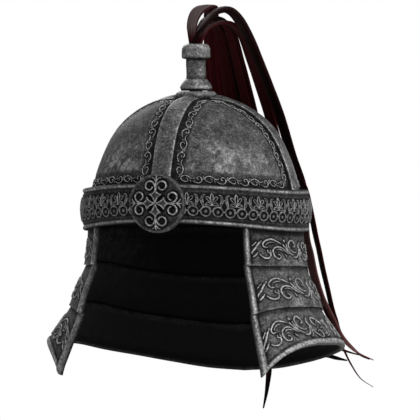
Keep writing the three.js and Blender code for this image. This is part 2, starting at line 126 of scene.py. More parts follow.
class Build:
    """Collects vertices, faces and the painted values of one piece."""

    def __init__(self):
        self.v, self.f, self.a = [], [], {"dark": [], "bright": [], "inside": []}
        self.n = 0

    def points(self, p, dark=0.0, bright=0.0, inside=0.0):
        p = np.asarray(p, float).reshape(-1, 3)
        self.v.append(p)
        for key, val in (("dark", dark), ("bright", bright), ("inside", inside)):
            self.a[key].append(np.broadcast_to(np.asarray(val, float).reshape(-1) if np.ndim(val) else val, (len(p),)))
        start = self.n
        self.n += len(p)
        return start

    def quads(self, idx):
        self.f.extend(np.asarray(idx).reshape(-1, 4).tolist())

    def faces(self, idx):
        self.f.extend([list(map(int, x)) for x in idx])

    def loops(self, grid, start, wrap):
        """Quads over a grid of closed loops: grid is (columns, loop points)."""
        m, n = grid
        i = np.arange(m if wrap else m - 1)[:, None]
        j = np.arange(n)[None, :]
        a, b = i * n + j, i * n + (j + 1) % n
        c, d = ((i + 1) % m) * n + (j + 1) % n, ((i + 1) % m) * n + j
        self.quads(start + np.stack([a, b, c, d], -1))

    def ribbon(self, p, nrm, width, height, closed=False, dark=0.0, bright=0.7, sink=0.5):
        """A raised half-round line along points p on a surface with normals nrm."""
        p, nrm = np.asarray(p, float), np.asarray(nrm, float)
        n = len(p)
        width = np.broadcast_to(width, (n,))
        height = np.broadcast_to(height, (n,))
        t = (np.roll(p, -1, 0) - np.roll(p, 1, 0)) if closed else np.gradient(p, axis=0)
        t /= np.linalg.norm(t, axis=1)[:, None] + 1e-9
        s = np.cross(nrm, t)
        s /= np.linalg.norm(s, axis=1)[:, None] + 1e-9
        across = np.array([-1, -0.66, 0, 0.66, 1]) * 0.5
        up = np.array([0, 0.72, 1, 0.72, 0])
        ring = (p[:, None] + s[:, None] * (across[None, :, None] * width[:, None, None])
                + nrm[:, None] * (up[None, :, None] * height[:, None, None] - np.array([sink, 0, 0, 0, sink])[None, :, None]))
        # the crest is lighter with wear; the foot on both sides takes painted shade
        br = np.broadcast_to(np.array([0.0, 0.6, 1, 0.6, 0.0]) * bright, (n, 5))
        dk = np.broadcast_to(np.array([0.9, 0.1, 0, 0.1, 0.9]) + dark, (n, 5))
        start = self.points(ring, dark=dk.ravel(), bright=br.ravel())
        self.loops((n, 5), start, closed)
        if not closed:
            self.faces([[start + k for k in (4, 3, 2, 1, 0)], [start + (n - 1) * 5 + k for k in range(5)]])

    def bead(self, p, nrm, radius, height, bright=0.7):
        nrm = np.asarray(nrm, float)
        u = np.cross(nrm, (0, 0, 1.0))
        u /= np.linalg.norm(u)
        w = np.cross(nrm, u)
        rows = [(1.0, -0.4), (0.92, 0.35), (0.62, 0.8)]
        k = 12
        ang = np.arange(k) * 2 * math.pi / k
        ring = [p + radius * a * (np.cos(ang)[:, None] * u + np.sin(ang)[:, None] * w) + nrm * h * height for a, h in rows]
        # the foot ring takes painted shade, the top is lighter with wear
        s = self.points(np.vstack(ring + [(p + nrm * height)[None]]), dark=np.r_[np.full(k, 0.8), np.zeros(2 * k + 1)],
                        bright=np.r_[np.zeros(k), np.full(k, 0.3), np.full(k, 0.8), 1.0] * bright)
        for r in range(2):
            for i in range(k):
                j = (i + 1) % k
                self.f.append([s + r * k + i, s + r * k + j, s + (r + 1) * k + j, s + (r + 1) * k + i])
        for i in range(k):
            self.f.append([s + 2 * k + i, s + 2 * k + (i + 1) % k, s + 3 * k])
        self.f.append([s + i for i in range(k)][::-1])

    def make(self, name, material, node):
        v = np.vstack(self.v) * 0.001
        me = bpy.data.meshes.new(name)
        me.from_pydata(v.tolist(), [], self.f)
        for key, parts in self.a.items():
            at = me.attributes.new(key, "FLOAT", "POINT")
            at.data.foreach_set("value", np.concatenate(parts).astype(np.float32))
        me.polygons.foreach_set("use_smooth", np.ones(len(me.polygons), bool))
        me.validate()
        me.update()
        ob = bpy.data.objects.new(name, me)
        bpy.context.scene.collection.objects.link(ob)
        me.materials.append(material)
        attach(ob, "root")
        if node:
            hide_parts(*([node] if isinstance(node, str) else node))
        return ob


def end_cap(b, outer, inner, flip):
    """Fills one end of a wall between its outer and inner edge, both from the top down."""
    i = j = 0
    n, m = len(outer), len(inner)
    tris = []
    while i < n - 1 or j < m - 1:
        if j == m - 1 or (i < n - 1 and (i + 1) / (n - 1) <= (j + 1) / (m - 1)):
            tris.append((outer[i], outer[i + 1], inner[j]))
            i += 1
        else:
            tris.append((outer[i], inner[j + 1], inner[j]))
            j += 1
    b.faces([t[::-1] for t in tris] if flip else tris)


# ---------------------------------------------------------------------------
# Materials
# ---------------------------------------------------------------------------
def nodes_of(name):
    mat = bpy.data.materials.new(name)
    mat.use_nodes = True
    nt = mat.node_tree
    for n in list(nt.nodes):
        nt.nodes.remove(n)
    out = nt.nodes.new("ShaderNodeOutputMaterial")
    bsdf = nt.nodes.new("ShaderNodeBsdfPrincipled")
    nt.links.new(bsdf.outputs[0], out.inputs[0])
    return mat, nt, bsdf


def add(nt, kind, **values):
    n = nt.nodes.new(kind)
    for k, v in values.items():
        if k.startswith("in_"):
            n.inputs[int(k[3:]) if k[3:].isdigit() else k[3:].replace("_", " ")].default_value = v
        else:
            setattr(n, k, v)
    return n


def math_node(nt, op, a, b=None, clamp=False):
    n = nt.nodes.new("ShaderNodeMath")
    n.operation, n.use_clamp = op, clamp
    for i, x in enumerate((a, b)):
        if x is None:
            continue
        if isinstance(x, (int, float)):
            n.inputs[i].default_value = x
        else:
            nt.links.new(x, n.inputs[i])
    return n.outputs[0]


def ramp(nt, fac, stops):
    n = nt.nodes.new("ShaderNodeValToRGB")
    el = n.color_ramp.elements
    while len(el) < len(stops):
        el.new(0.5)
    for e, (pos, val) in zip(el, stops):
        e.position = pos
        e.color = (*([val] * 3 if isinstance(val, float) else val), 1)
    nt.links.new(fac, n.inputs[0])
    return n.outputs[0]


def blend(nt, fac, a, b, mode="MIX"):
    n = nt.nodes.new("ShaderNodeMix")
    n.data_type, n.blend_type = "RGBA", mode
    for sock, x in ((n.inputs[0], fac), (n.inputs[6], a), (n.inputs[7], b)):
        if isinstance(x, (int, float)):
            sock.default_value = x
        elif isinstance(x, tuple):
            sock.default_value = (*x, 1)
        else:
            nt.links.new(x, sock)
    return n.outputs[2]


def steel(name, base, spread, seed, metallic=0.4, rough=0.5, patch=1.0):
    """Worn dark steel: mottled patina, pits, fine scratches, painted shade in the recesses
    and on the inner faces, and bright edges and tops, partly wear and partly painted highlight,
    painted by the mesh's dark, bright and inside values."""
    mat, nt, bsdf = nodes_of(name)
    link = nt.links.new
    co = add(nt, "ShaderNodeTexCoord").outputs["Object"]
    mp = add(nt, "ShaderNodeMapping")
    mp.inputs["Location"].default_value = (seed * 0.37, seed * 0.21, seed * 0.53)
    link(co, mp.inputs["Vector"])
    pos = mp.outputs[0]

    def noise(scale, detail, rgh, dist=0.0, vec=pos):
        n = add(nt, "ShaderNodeTexNoise", in_Scale=scale, in_Detail=detail, in_Roughness=rgh, in_Distortion=dist)
        link(vec, n.inputs["Vector"])
        return n.outputs["Fac"]

    large = noise(16, 6, 0.62, 0.4)
    mid = noise(95, 7, 0.72, 0.6)
    fine = noise(330, 6, 0.75)
    grain = noise(760, 3, 0.65)
    stretch = add(nt, "ShaderNodeMapping")
    stretch.inputs["Scale"].default_value = (60, 60, 900)
    stretch.inputs["Rotation"].default_value = (0.5, 0.35, 0.2)
    link(pos, stretch.inputs["Vector"])
    scratch = noise(1.0, 3, 0.6, 0.0, stretch.outputs[0])
    vor = add(nt, "ShaderNodeTexVoronoi", in_Scale=230.0)
    link(pos, vor.inputs["Vector"])
    pit = ramp(nt, vor.outputs["Distance"], [(0.10, 1.0), (0.30, 0.0)])
    pit_zone = ramp(nt, noise(38, 4, 0.6), [(0.47, 0.0), (0.58, 1.0)])
    pits = math_node(nt, "MULTIPLY", pit, pit_zone)

    lo, hi = base * (1 - spread), base * (1 + spread)
    tone = ramp(nt, mid, [(0.34, lo * 0.74), (0.5, base), (0.64, hi * 1.10)])
    tone = blend(nt, 0.75, tone, ramp(nt, large, [(0.33, 0.70), (0.52, 1.0), (0.68, 1.35 * patch)]), "MULTIPLY")
    tone = blend(nt, 0.85, tone, ramp(nt, fine, [(0.36, 0.45), (0.5, 0.92), (0.64, 1.85)]), "MULTIPLY")
    tone = blend(nt, 0.9, tone, ramp(nt, grain, [(0.34, 0.40), (0.5, 0.92), (0.66, 2.1)]), "MULTIPLY")
    tone = blend(nt, 0.30, tone, ramp(nt, scratch, [(0.36, 0.6), (0.5, 1.0), (0.66, 1.5)]), "MULTIPLY")
    tone = blend(nt, math_node(nt, "MULTIPLY", pits, 0.8), tone, (0.008, 0.0078, 0.0075))

    bright = add(nt, "ShaderNodeAttribute", attribute_name="bright").outputs["Fac"]
    dark = add(nt, "ShaderNodeAttribute", attribute_name="dark").outputs["Fac"]
    inside = add(nt, "ShaderNodeAttribute", attribute_name="inside").outputs["Fac"]
    # bright value: wear on crests and edges, plus painted highlight on lit tops and borders
    wear_and_highlight = math_node(nt, "MULTIPLY", bright, ramp(nt, fine, [(0.36, 0.35), (0.58, 1.0)]), True)
    tone = blend(nt, wear_and_highlight, tone, ramp(nt, fine, [(0.36, 0.22), (0.64, 0.70)]))
    # dark value: mostly painted shade in recesses, grooves, under lips and around the chased lines
    painted_shade = math_node(nt, "MULTIPLY", dark, ramp(nt, mid, [(0.28, 1.0), (0.7, 0.82)]), True)
    tone = blend(nt, painted_shade, tone, (0.0036, 0.0035, 0.0034))
    # inside value: painted shade, near black, on the inner faces
    tone = blend(nt, inside, tone, blend(nt, mid, (0.0016, 0.0016, 0.0016), (0.0070, 0.0070, 0.0070)))
    link(tone, bsdf.inputs["Base Color"])

    bsdf.inputs["Metallic"].default_value = metallic
    bsdf.inputs["Specular IOR Level"].default_value = 0.10
    r = ramp(nt, mid, [(0.32, rough - 0.10), (0.66, rough + 0.12)])
    r = blend(nt, wear_and_highlight, r, (0.36, 0.36, 0.36))
    r = blend(nt, math_node(nt, "MAXIMUM", painted_shade, inside), r, (0.82, 0.82, 0.82))
    link(r, bsdf.inputs["Roughness"])

    height = math_node(nt, "ADD", math_node(nt, "MULTIPLY", mid, 0.55), math_node(nt, "MULTIPLY", fine, 0.35))
    height = math_node(nt, "ADD", height, math_node(nt, "MULTIPLY", scratch, 0.18))
    height = math_node(nt, "SUBTRACT", height, math_node(nt, "MULTIPLY", pits, 0.5))
    bump = add(nt, "ShaderNodeBump", in_Strength=0.8, in_Distance=0.0009)
    link(height, bump.inputs["Height"])
    link(bump.outputs[0], bsdf.inputs["Normal"])
    return mat


def hair_material():
    mat, nt, bsdf = nodes_of("dyed_horse_hair")
    link = nt.links.new
    co = add(nt, "ShaderNodeTexCoord").outputs["Object"]
    highlight_fac = add(nt, "ShaderNodeAttribute", attribute_name="bright").outputs["Fac"]
    strand = add(nt, "ShaderNodeAttribute", attribute_name="dark").outputs["Fac"]
    n = add(nt, "ShaderNodeTexNoise", in_Scale=260.0, in_Detail=5.0, in_Roughness=0.7)
    link(co, n.inputs["Vector"])
    # dark value: dye from black to red, with painted shade on the near edges and a painted red highlight on the far
    # rims
    col = ramp(nt, strand, [(0.0, (0.0012, 0.0008, 0.0009)), (0.2, (0.0030, 0.0009, 0.0010)), (0.55, (0.030, 0.0032, 0.0042)), (1.0, (0.085, 0.0080, 0.0100))])
    col = blend(nt, 0.6, col, ramp(nt, n.outputs["Fac"], [(0.3, 0.45), (0.7, 1.5)]), "MULTIPLY")
    # bright value: painted grey-brown highlight on the arch tops
    col = blend(nt, highlight_fac, col, (0.085, 0.064, 0.062))
    sheen = add(nt, "ShaderNodeAttribute", attribute_name="inside").outputs["Fac"]  # red-brown, low on the outer lock
    col = blend(nt, sheen, col, (0.19, 0.072, 0.072))
    link(col, bsdf.inputs["Base Color"])
    link(ramp(nt, n.outputs["Fac"], [(0.3, 0.45), (0.7, 0.7)]), bsdf.inputs["Roughness"])
    bsdf.inputs["Specular IOR Level"].default_value = 0.04
    bump = add(nt, "ShaderNodeBump", in_Strength=0.4, in_Distance=0.0003)
    link(n.outputs["Fac"], bump.inputs["Height"])
    link(bump.outputs[0], bsdf.inputs["Normal"])
    return mat


BOWL_STEEL = steel("bowl_steel", 0.088, 0.45, 1, metallic=0.25, rough=0.60, patch=1.1)
RIB_STEEL = steel("rib_steel", 0.085, 0.38, 2)
BAND_STEEL = steel("chased_steel", 0.042, 0.4, 3)
LAME_STEEL = steel("lame_steel", 0.072, 0.45, 4, patch=1.2)
SOCKET_STEEL = steel("socket_steel", 0.105, 0.5, 5, rough=0.40)
HAIR = hair_material()

# ---------------------------------------------------------------------------
# Bowl
# ---------------------------------------------------------------------------
_prof = spline(BOWL, 400)
_ell = np.r_[0, np.cumsum(np.linalg.norm(np.diff(_prof, axis=0), axis=1))]
_tan = np.gradient(_prof, axis=0)
_tan /= np.linalg.norm(_tan, axis=1)[:, None]
BOWL_LEN = _ell[-1]


def ell_at_z(z):
    return np.interp(z, _prof[:, 1], _ell)


def ell_at_r(r):
    return np.interp(-np.asarray(r, float), -_prof[:, 0], _ell)


def bowl_point(deg, ell, out=0.0):
    r, z = np.interp(ell, _ell, _prof[:, 0]), np.interp(ell, _ell, _prof[:, 1])
    tr, tz = np.interp(ell, _ell, _tan[:, 0]), np.interp(ell, _ell, _tan[:, 1])
    nr, nz = tz, -tr
    p = around(r + nr * out, deg, z + nz * out)
    n = around(nr, deg, nz)
    return p, n


def bowl_radius(ell):
    return np.interp(ell, _ell, _prof[:, 0])


# One repeat of the running vine, in mm: along the strip, across it (up is away
# from the rim or rib). w is the line's width.
VINE_REPEAT = 26.0
VINE = [
    {"w": 1.15, "p": [(15.7, 1.9), (14.2, 0.8), (10.9, 1.0), (8.9, 2.6), (5.9, 3.7), (2.7, 3.3), (0.2, 1.3), (2.0, -1.3), (6.1, -2.8), (8.2, -1.1), (7.6, 0.9), (6.1, 1.0)]},
    {"w": 1.10, "p": [(13.2, -1.5), (16.2, -3.2), (19.6, -3.8), (22.3, -2.5), (23.1, 0.0), (21.8, 2.5), (19.9, 3.2), (17.9, 1.6), (18.6, 0.1), (20.0, 0.4)]},
    {"w": 0.95, "p": [(22.1, -2.0), (24.0, 0.0), (25.8, 2.0)]},
    {"w": 0.90, "p": [(10.3, 0.2), (10.9, -1.4), (11.6, -3.0)]},
    {"w": 0.80, "p": [(-1.9, 1.4), (-1.0, 2.9), (-0.2, 4.1)]},
]


def vine_lines(length):
    """The vine's lines over a strip of this length, with whole repeats only."""
    count = max(1, int(round(length / VINE_REPEAT)))
    k = length / (count * VINE_REPEAT)
    for i in range(count):
        for row in VINE:
            p = np.array(row["p"], float)
            p[:, 0] = (p[:, 0] + i * VINE_REPEAT) * k
            size = np.linalg.norm(np.diff(p, axis=0), axis=1).sum()
            yield spline(p, max(5, int(size / 0.95))), row["w"]


def taper(n, w, ends=0.35):
    t = np.linspace(0, 1, n)
    return w * (ends + (1 - ends) * np.sqrt(np.clip(np.sin(np.pi * np.clip(t * 0.94 + 0.03, 0, 1)), 0, 1)))


def bowl_plate(name, start):
    b = Build()
    marks = []
    seam = 0.12
    # The vine: along the rim, then up beside each of the two ribs.
    rim_r = 107.3
    side = math.degrees(VINE_FROM_RIB / rim_r)
    arc0, arc1 = start + side, start + 90 - side
    length = math.radians(arc1 - arc0) * rim_r
    for p, w in vine_lines(length - 4):
        deg = arc0 + math.degrees(1) * (p[:, 0] + 2) / rim_r
        ell = ell_at_z(VINE_Z) + brow(deg, VINE_Z) + p[:, 1]
        q, n = bowl_point(deg, ell, -0.25)
        b.ribbon(q, n, taper(len(q), w * 1.04), 0.85, bright=0.95)
        marks.append(q)
    for edge in (0, 1):
        first = ell_at_z(VINE_Z) + 3.6 + brow(start + 90 * edge, VINE_Z)
        last = ell_at_r(31.5)
        for p, w in vine_lines(last - first):
            ell = first + p[:, 0]
            r = bowl_radius(ell)
            off = np.degrees(np.arcsin(np.clip((VINE_FROM_RIB - 0.2 + p[:, 1]) / r, -0.98, 0.98)))
            deg = start + off if edge == 0 else start + 90 - off
            q, n = bowl_point(deg, ell, -0.25)
            keep = (off < 44.5)
            if keep.sum() < 5:
                continue
            q, n = q[keep], n[keep]
            b.ribbon(q, n, taper(len(q), w * 1.04), 0.85, bright=0.95)
            marks.append(q)
    marks = np.vstack(marks)
    tree = KDTree(len(marks))
    for i, m in enumerate(marks):
        tree.insert(m, i)
    tree.balance()

    cols, rows = 134, 150
    deg = start + np.linspace(seam, 90 - seam, cols)
    ell = np.linspace(0, BOWL_LEN, rows)
    D, E = np.meshgrid(deg, ell, indexing="ij")
    E = E + brow(D, -15) * (1 - E / BOWL_LEN) * (E < 60) * ease(60 - E, 0, 45)
    R = bowl_radius(E)
    rel = np.radians(np.minimum(D - start, start + 90 - D))
    lateral = R * np.sin(rel)  # from the nearer rib's centre line
    low = E - (ell_at_z(BAND_MID + BAND_HALF) + brow(D, BAND_HALF))
    ground = np.maximum(1 - ease(lateral, VINE_FROM_RIB + 3.0, VINE_FROM_RIB + 7.0), 1 - ease(low, 12.2, 16.0))
    groove = np.maximum(1 - ease(lateral, 13.5, 16.5), 1 - ease(low, 2.0, 4.6))
    P, N = bowl_point(D, E, 0)
    near = np.full(P.shape[:2], 9.0)
    want = ground > 0.02
    near[want] = [tree.find(v)[2] for v in P[want]]
    around_line = 1 - ease(near, 0.7, 2.6)
    wave = value_noise(P, 34, 3) * 0.35 + value_noise(P, 13, 5) * 0.14
    out = -0.55 * ground - 0.2 * around_line + wave * (1 - ground) * ease(E, 5, 40)
    P = P + N * out[..., None]
    # painted shade in the sunk ground, in the groove and around the vine's lines
    dark = np.clip(0.58 * ground + 0.45 * around_line * ground + 0.9 * groove, 0, 0.97)
    # darker just past the strip and towards the crown, and a lighter mottled patch low on the plate
    fade = np.maximum(1 - ease(lateral, 24, 40), (1 - ease(low, 15, 30)) * 0.8) * (1 - ground)
    dark = np.clip(dark + 0.22 * fade + 0.16 * ease(E, 60, 120) * (1 - ground), 0, 0.96)
    ridge = np.exp(-((lateral - VINE_FROM_RIB - 6.6) / 1.6) ** 2) + np.exp(-((low - 15.6) / 1.5) ** 2)
    lighter_patch = ease(low, 12, 17) * (1 - ease(low, 24, 58)) * ease(lateral, 23, 30) 
    quarter = (D - start) if start in (0, 180) else start + 90 - D  # degrees from the front or back rib
    lighter_patch = lighter_patch * (0.30 + 0.85 * np.exp(-((quarter - 31) / 15) ** 2))
    bright = np.clip(0.10 * ridge + 0.60 * lighter_patch * np.clip(0.30 + 0.9 * value_noise(P, 15, 9) + 1.0 * value_noise(P, 4.5, 11), 0, 1), 0, 0.6)
    inner_ell = np.linspace(BOWL_LEN, 0, 22)
    Di, Ei = np.meshgrid(deg, inner_ell, indexing="ij")
    Ei = Ei + brow(Di, -15) * (1 - Ei / BOWL_LEN) * (Ei < 60) * ease(60 - Ei, 0, 45)
    Pi, _ = bowl_point(Di, Ei, -2.0)
    L = rows + 22
    grid = np.concatenate([P, Pi], axis=1)
    # the inner face takes the painted shade of the inside value
    s = b.points(grid, dark=np.concatenate([dark, np.zeros(Pi.shape[:2])], 1).ravel(),
                 bright=np.concatenate([bright, np.zeros(Pi.shape[:2])], 1).ravel(),
                 inside=np.concatenate([np.zeros(P.shape[:2]), np.ones(Pi.shape[:2])], 1).ravel())
    b.loops((cols, L), s, False)
    for c, flip in ((0, False), (cols - 1, True)):
        outer = [s + c * L + i for i in range(rows - 1, -1, -1)]
        inner = [s + c * L + rows + i for i in range(22)]
        end_cap(b, outer, inner, flip)
    return b.make(name, BOWL_STEEL, "bowl_plate_" + name[6:])


bowl_plate("plate_front_left", 0)
bowl_plate("plate_back_left", 90)
bowl_plate("plate_back_right", 180)
bowl_plate("plate_front_right", 270)


def rib_piece(name, node, at):
    b = Build()
    n = 120
    ell = np.linspace(ell_at_z(-1.5), ell_at_r(18.6), n)
    r = bowl_radius(ell)
    half = np.full(n, RIB_HALF)
    across = np.array([-1, -1, -0.985, -0.93, -0.8, -0.4, 0, 0.4, 0.8, 0.93, 0.985, 1, 1])
    flat = np.array([-0.9, 1.9, 2.45, 2.75, 2.85, 3.2, 3.4, 3.2, 2.85, 2.75, 2.45, 1.9, -0.9])
    peak = np.array([-0.9, 0.7, 0.95, 1.15, 1.6, 3.3, 4.7, 3.3, 1.6, 1.15, 0.95, 0.7, -0.9])
    gable = (1 - ease(r, 22.0, 46.0))[:, None]
    A = across[None, :] * half[:, None]
    U = flat[None, :] * (1 - gable) + peak[None, :] * gable
    E = np.broadcast_to(ell[:, None], A.shape)
    deg = at + np.degrees(np.arcsin(np.clip(A / r[:, None], -0.95, 0.95)))
    P, N = bowl_point(deg, E, 0)
    top = (np.arange(13) > 0) & (np.arange(13) < 12)
    U = U + (value_noise(P, 16, 21) * 0.28 + value_noise(P, 5, 22) * 0.1) * top
    P = P + N * U[..., None]
    edge = np.array([0, 0.25, 0.8, 0.75, 0.2, 0, 0, 0, 0.2, 0.75, 0.8, 0.25, 0])
    nz = 0.5 + 0.5 * value_noise(P, 6, 23)
    bright = edge * (0.28 + 0.5 * nz) + 0.12 * np.clip(value_noise(P, 18, 24), 0, 1)
    # the lower part is lighter; the extra on the side ribs is a painted highlight
    lighter_low_part = (1 - ease(ell - ell[0], 44, 92))[:, None] * top * (0.35 + 0.65 * (at in (90, 270)))
    bright = bright + 0.34 * lighter_low_part * np.clip(0.45 + 0.9 * value_noise(P, 9, 25), 0, 1)
    # painted shade along the rib's foot and under the flange at its top end
    dark = np.broadcast_to(np.array([0.95, 0.45, 0, 0, 0.12, 0.05, 0, 0.05, 0.12, 0, 0, 0.45, 0.95]), A.shape)
    dark = np.maximum(dark, 0.95 * (1 - ease(np.hypot(r[:, None], A * 0), 22.2, 23.6)))
    s = b.points(P, dark=dark.ravel(), bright=bright.ravel())
    b.loops((n, 13), s, False)
    b.faces([[s + k for k in range(13)][::-1], [s + (n - 1) * 13 + k for k in range(13)]])
    return b.make(name, RIB_STEEL, node)


for side, at in (("front", 0), ("left", 90), ("back", 180), ("right", 270)):
    rib_piece("strap_" + side, "rib_" + side, at)

# ---------------------------------------------------------------------------
# Brow band with its frieze
# ---------------------------------------------------------------------------
BAND_R = 120.0


def band_radius(z):
    a = np.abs(z)
    body = 117.0 + 3.0 * (1 - np.clip(a / 16.9, 0, 1) ** 2)
    bead = 115.4 + np.sqrt(np.clip(2.4**2 - (a - 19.35) ** 2, 0, None))
    groove = 0.75 * np.exp(-((a - 16.7) / 0.55) ** 2)
    return np.where(a > 17.05, bead, body - groove)


def band_point(deg, z, out=0.0):
    r = band_radius(z)
    dz = 0.05
    slope = (band_radius(z + dz) - band_radius(z - dz)) / (2 * dz)
    l = np.hypot(1, slope)
    nr, nz = 1 / l, -slope / l
    return around(r + nr * out, deg, z + nz * out + BAND_MID + brow(deg, z)), around(nr, deg, nz)


# One repeat of the frieze, half of it: the other half is its mirror image.
# x from the palmette's centre, y from the rings' centre line.
FRIEZE_RINGS_Z = -7.2
FRIEZE_TALL = 1.12
PALMETTE_COUNT = 29
FRIEZE_REPEAT = 2 * math.pi * 119.5 / PALMETTE_COUNT
FRIEZE_SIDE = [
    {"w": 1.0, "closed": True, "p": [(0.9, 8.3), (3.2, 10.1), (5.1, 11.8), (6.3, 13.6), (5.6, 14.4), (3.7, 14.2), (2.3, 12.7), (1.4, 10.5)]},
    {"w": 1.1, "closed": False, "p": [(0.8, 7.0), (3.5, 8.7), (5.8, 8.1), (7.3, 6.2)]},
    {"w": 0.9, "closed": False, "p": [(0.7, 6.0), (3.2, 6.0), (5.2, 6.9), (7.0, 6.3)]},
    {"w": 1.0, "closed": False, "p": [(6.7, 15.7), (8.4, 16.3), (10.4, 15.2), (11.2, 12.8), (10.7, 10.2), (9.0, 8.0)]},
    {"w": 1.2, "closed": False, "p": [(8.3, 14.9), (9.5, 13.4), (9.4, 10.8), (8.8, 7.8), (8.5, 3.4)]},
    {"w": 1.1, "closed": False, "p": [(12.8, 11.9), (11.5, 9.3), (9.9, 6.2), (8.9, 3.2)]},
    {"w": 0.9, "closed": False, "p": [(7.2, 6.4), (5.4, 5.0), (3.4, 4.6), (1.6, 3.2), (0.7, 0.6)]},
]
FRIEZE_LOBE = [(0, 7.0), (-0.9, 9.6), (-1.4, 12.3), (-1.3, 15.3), (0, 17.6), (1.3, 15.3), (1.4, 12.3), (0.9, 9.6)]
RING_R, RING_W = 5.1, 1.9


def frieze(b):
    marks = []
    half = FRIEZE_REPEAT / 4

    def line(p, w, closed, centre, bright=0.62):
        p = np.asarray(p, float)
        size = np.linalg.norm(np.diff(p, axis=0), axis=1).sum()
        p = spline(p, max(5, int(size / 1.15)), closed)
        deg = centre + np.degrees(p[:, 0] / 119.2)
        q, n = band_point(deg, p[:, 1] + FRIEZE_RINGS_Z, -0.3)
        b.ribbon(q, n, np.full(len(q), w) if closed else taper(len(q), w, 0.5), 1.05, closed, bright=bright)
        marks.append(q)

    for k in range(PALMETTE_COUNT):
        centre = 27.5 - 12.2 + 360 / PALMETTE_COUNT * k
        line(np.array(FRIEZE_LOBE) * (1, FRIEZE_TALL), 1.3, True, centre, 0.74)
        for row in FRIEZE_SIDE:
            p = np.array(row["p"]) * (1, FRIEZE_TALL)
            line(p, row["w"] * 1.25, row["closed"], centre, 0.52)
            line(p * (-1, 1), row["w"] * 1.25, row["closed"], centre, 0.52)
        for sx in (-1, 1):
            t = np.linspace(0, 2 * math.pi, 16, endpoint=False)
            ring = np.column_stack([sx * half + RING_R * np.cos(t), RING_R * np.sin(t)])
            line(ring, RING_W, True, centre, 0.42)
            q, n = band_point(centre + np.degrees(sx * half / 119.2), FRIEZE_RINGS_Z - 0.2, -0.6)
            b.bead(q, n, 2.0, 1.4, 0.25)
        for x in (0, FRIEZE_REPEAT / 2):
            q, n = band_point(centre + np.degrees(x / 119.2), FRIEZE_RINGS_Z + 0.3, -0.4)
            b.bead(q, n, 1.0, 1.1, 0.6)
        q, n = band_point(centre, FRIEZE_RINGS_Z + 7.5, -0.3)
        b.bead(q, n, 1.5, 1.3, 0.8)
    return np.vstack(marks)


def brow_band():
    b = Build()
    marks = frieze(b)
    tree = KDTree(len(marks))
    for i, m in enumerate(marks):
        tree.insert(m, i)
    tree.balance()
    t = np.linspace(math.pi * 0.62, -0.28 * math.pi, 9)
    top = np.column_stack([115.4 + 2.4 * np.cos(t), 19.35 + 2.4 * np.sin(t)])
    zs = np.linspace(16.9, -16.9, 27)
    body = np.column_stack([band_radius(zs), zs])
    low = top[::-1] * (1, -1)
    inner = np.array([(113.2, -15.8), (116.2, -8), (116.2, 8), (113.2, 15.8)])
    loop = np.vstack([top, body, low, inner])
    n, cols = len(loop), 560
    deg = np.arange(cols) * 360 / cols
    P = around(loop[None, :, 0], deg[:, None], loop[None, :, 1] + BAND_MID + brow(deg[:, None], loop[None, :, 1]))
    N = around(np.ones((cols, n)), np.broadcast_to(deg[:, None], (cols, n)), np.zeros((cols, n)))
    z = np.broadcast_to(loop[None, :, 1], (cols, n))
    outer = np.arange(n) < n - 4
    in_field = (np.abs(z) < 16.3) & outer[None, :]
    near = np.full((cols, n), 9.0)
    near[in_field] = [tree.find(v)[2] for v in P[in_field]]
    close = 1 - ease(near, 0.9, 2.3)
    field = (1 - ease(np.abs(z + 0.2), 12.6, 14.4)) * in_field
    dents = value_noise(P, 14, 31) * 0.22 + value_noise(P, 5, 32) * 0.10
    P = P + N * ((-0.35 * field - 0.15 * close + dents) * outer[None, :])[..., None]
    nz = 0.5 + 0.5 * value_noise(P, 9, 33)
    # painted highlight on the crests of the two beads
    bead_top = np.exp(-((np.abs(z) - 19.0) / 1.25) ** 2) * outer[None, :] * (np.abs(loop[:, 0]) > 116.0)[None, :]
    bright = bead_top * (0.35 + 0.5 * nz)
    groove = np.exp(-((np.abs(z) - 16.4) / 0.9) ** 2) * outer[None, :]
    edge_dark = (np.abs(z) > 21.2) * 0.6
    # painted shade in the sunk field, around the frieze's lines, in the grooves and on the beads' turned-under edges;
    # the whole field a little darker too
    dark = np.clip(0.62 * field + 0.38 * close * field + 0.88 * groove + edge_dark + 0.22 * in_field, 0, 0.98)
    dark = np.where(outer[None, :], dark, 0)
    # the inner face takes painted shade
    inside = np.broadcast_to((~outer)[None, :] * 1.0, (cols, n)).copy()
    inside[:, 0] = 0.6
    inside[:, n - 5] = 0.6
    s = b.points(P, dark=dark.ravel(), bright=bright.ravel(), inside=inside.ravel())
    b.loops((cols, n), s, True)
    return b.make("band", BAND_STEEL, "brow_band")


brow_band()

# ---------------------------------------------------------------------------
# Medallion: a domed disc chased with a four-armed scroll cross
# ---------------------------------------------------------------------------
def arm_lines():
    """The lines of the upper arm of the cross, in mm from the middle."""
    volute = [(0.35, 12.6), (0.55, 15.2), (1.0, 17.6), (2.3, 20.3)]
    t = np.radians(np.linspace(140, -165, 13))
    rad = np.linspace(5.0, 3.5, 13)
    spiral = np.column_stack([6.6 + rad * np.cos(t), 17.3 + rad * np.sin(t)])
    lines = [
        (np.vstack([volute, spiral]), 1.55),
        (np.array([(0.0, 12.4), (0.0, 16.0), (0.0, 20.5), (0.0, 23.4)]), 1.25),
        (np.array([(0.1, 21.2), (1.2, 23.3), (2.6, 24.9), (4.4, 25.6)]), 1.15),
        (np.array([(0.0, 22.0), (0.25, 24.2), (0.0, 26.6)]), 1.3),
        (np.array([(0.15, 1.0), (1.6, 4.6), (3.4, 7.2), (5.9, 8.9)]), 1.25),
        (np.array([(5.9, 8.9), (3.3, 9.7), (1.4, 11.0), (0.2, 13.2)]), 1.25),
    ]
    both = []
    for p, w in lines:
        both.append((p, w))
        if np.abs(p[:, 0]).max() > 0.3:
            both.append((p * (-1, 1), w))
    return both


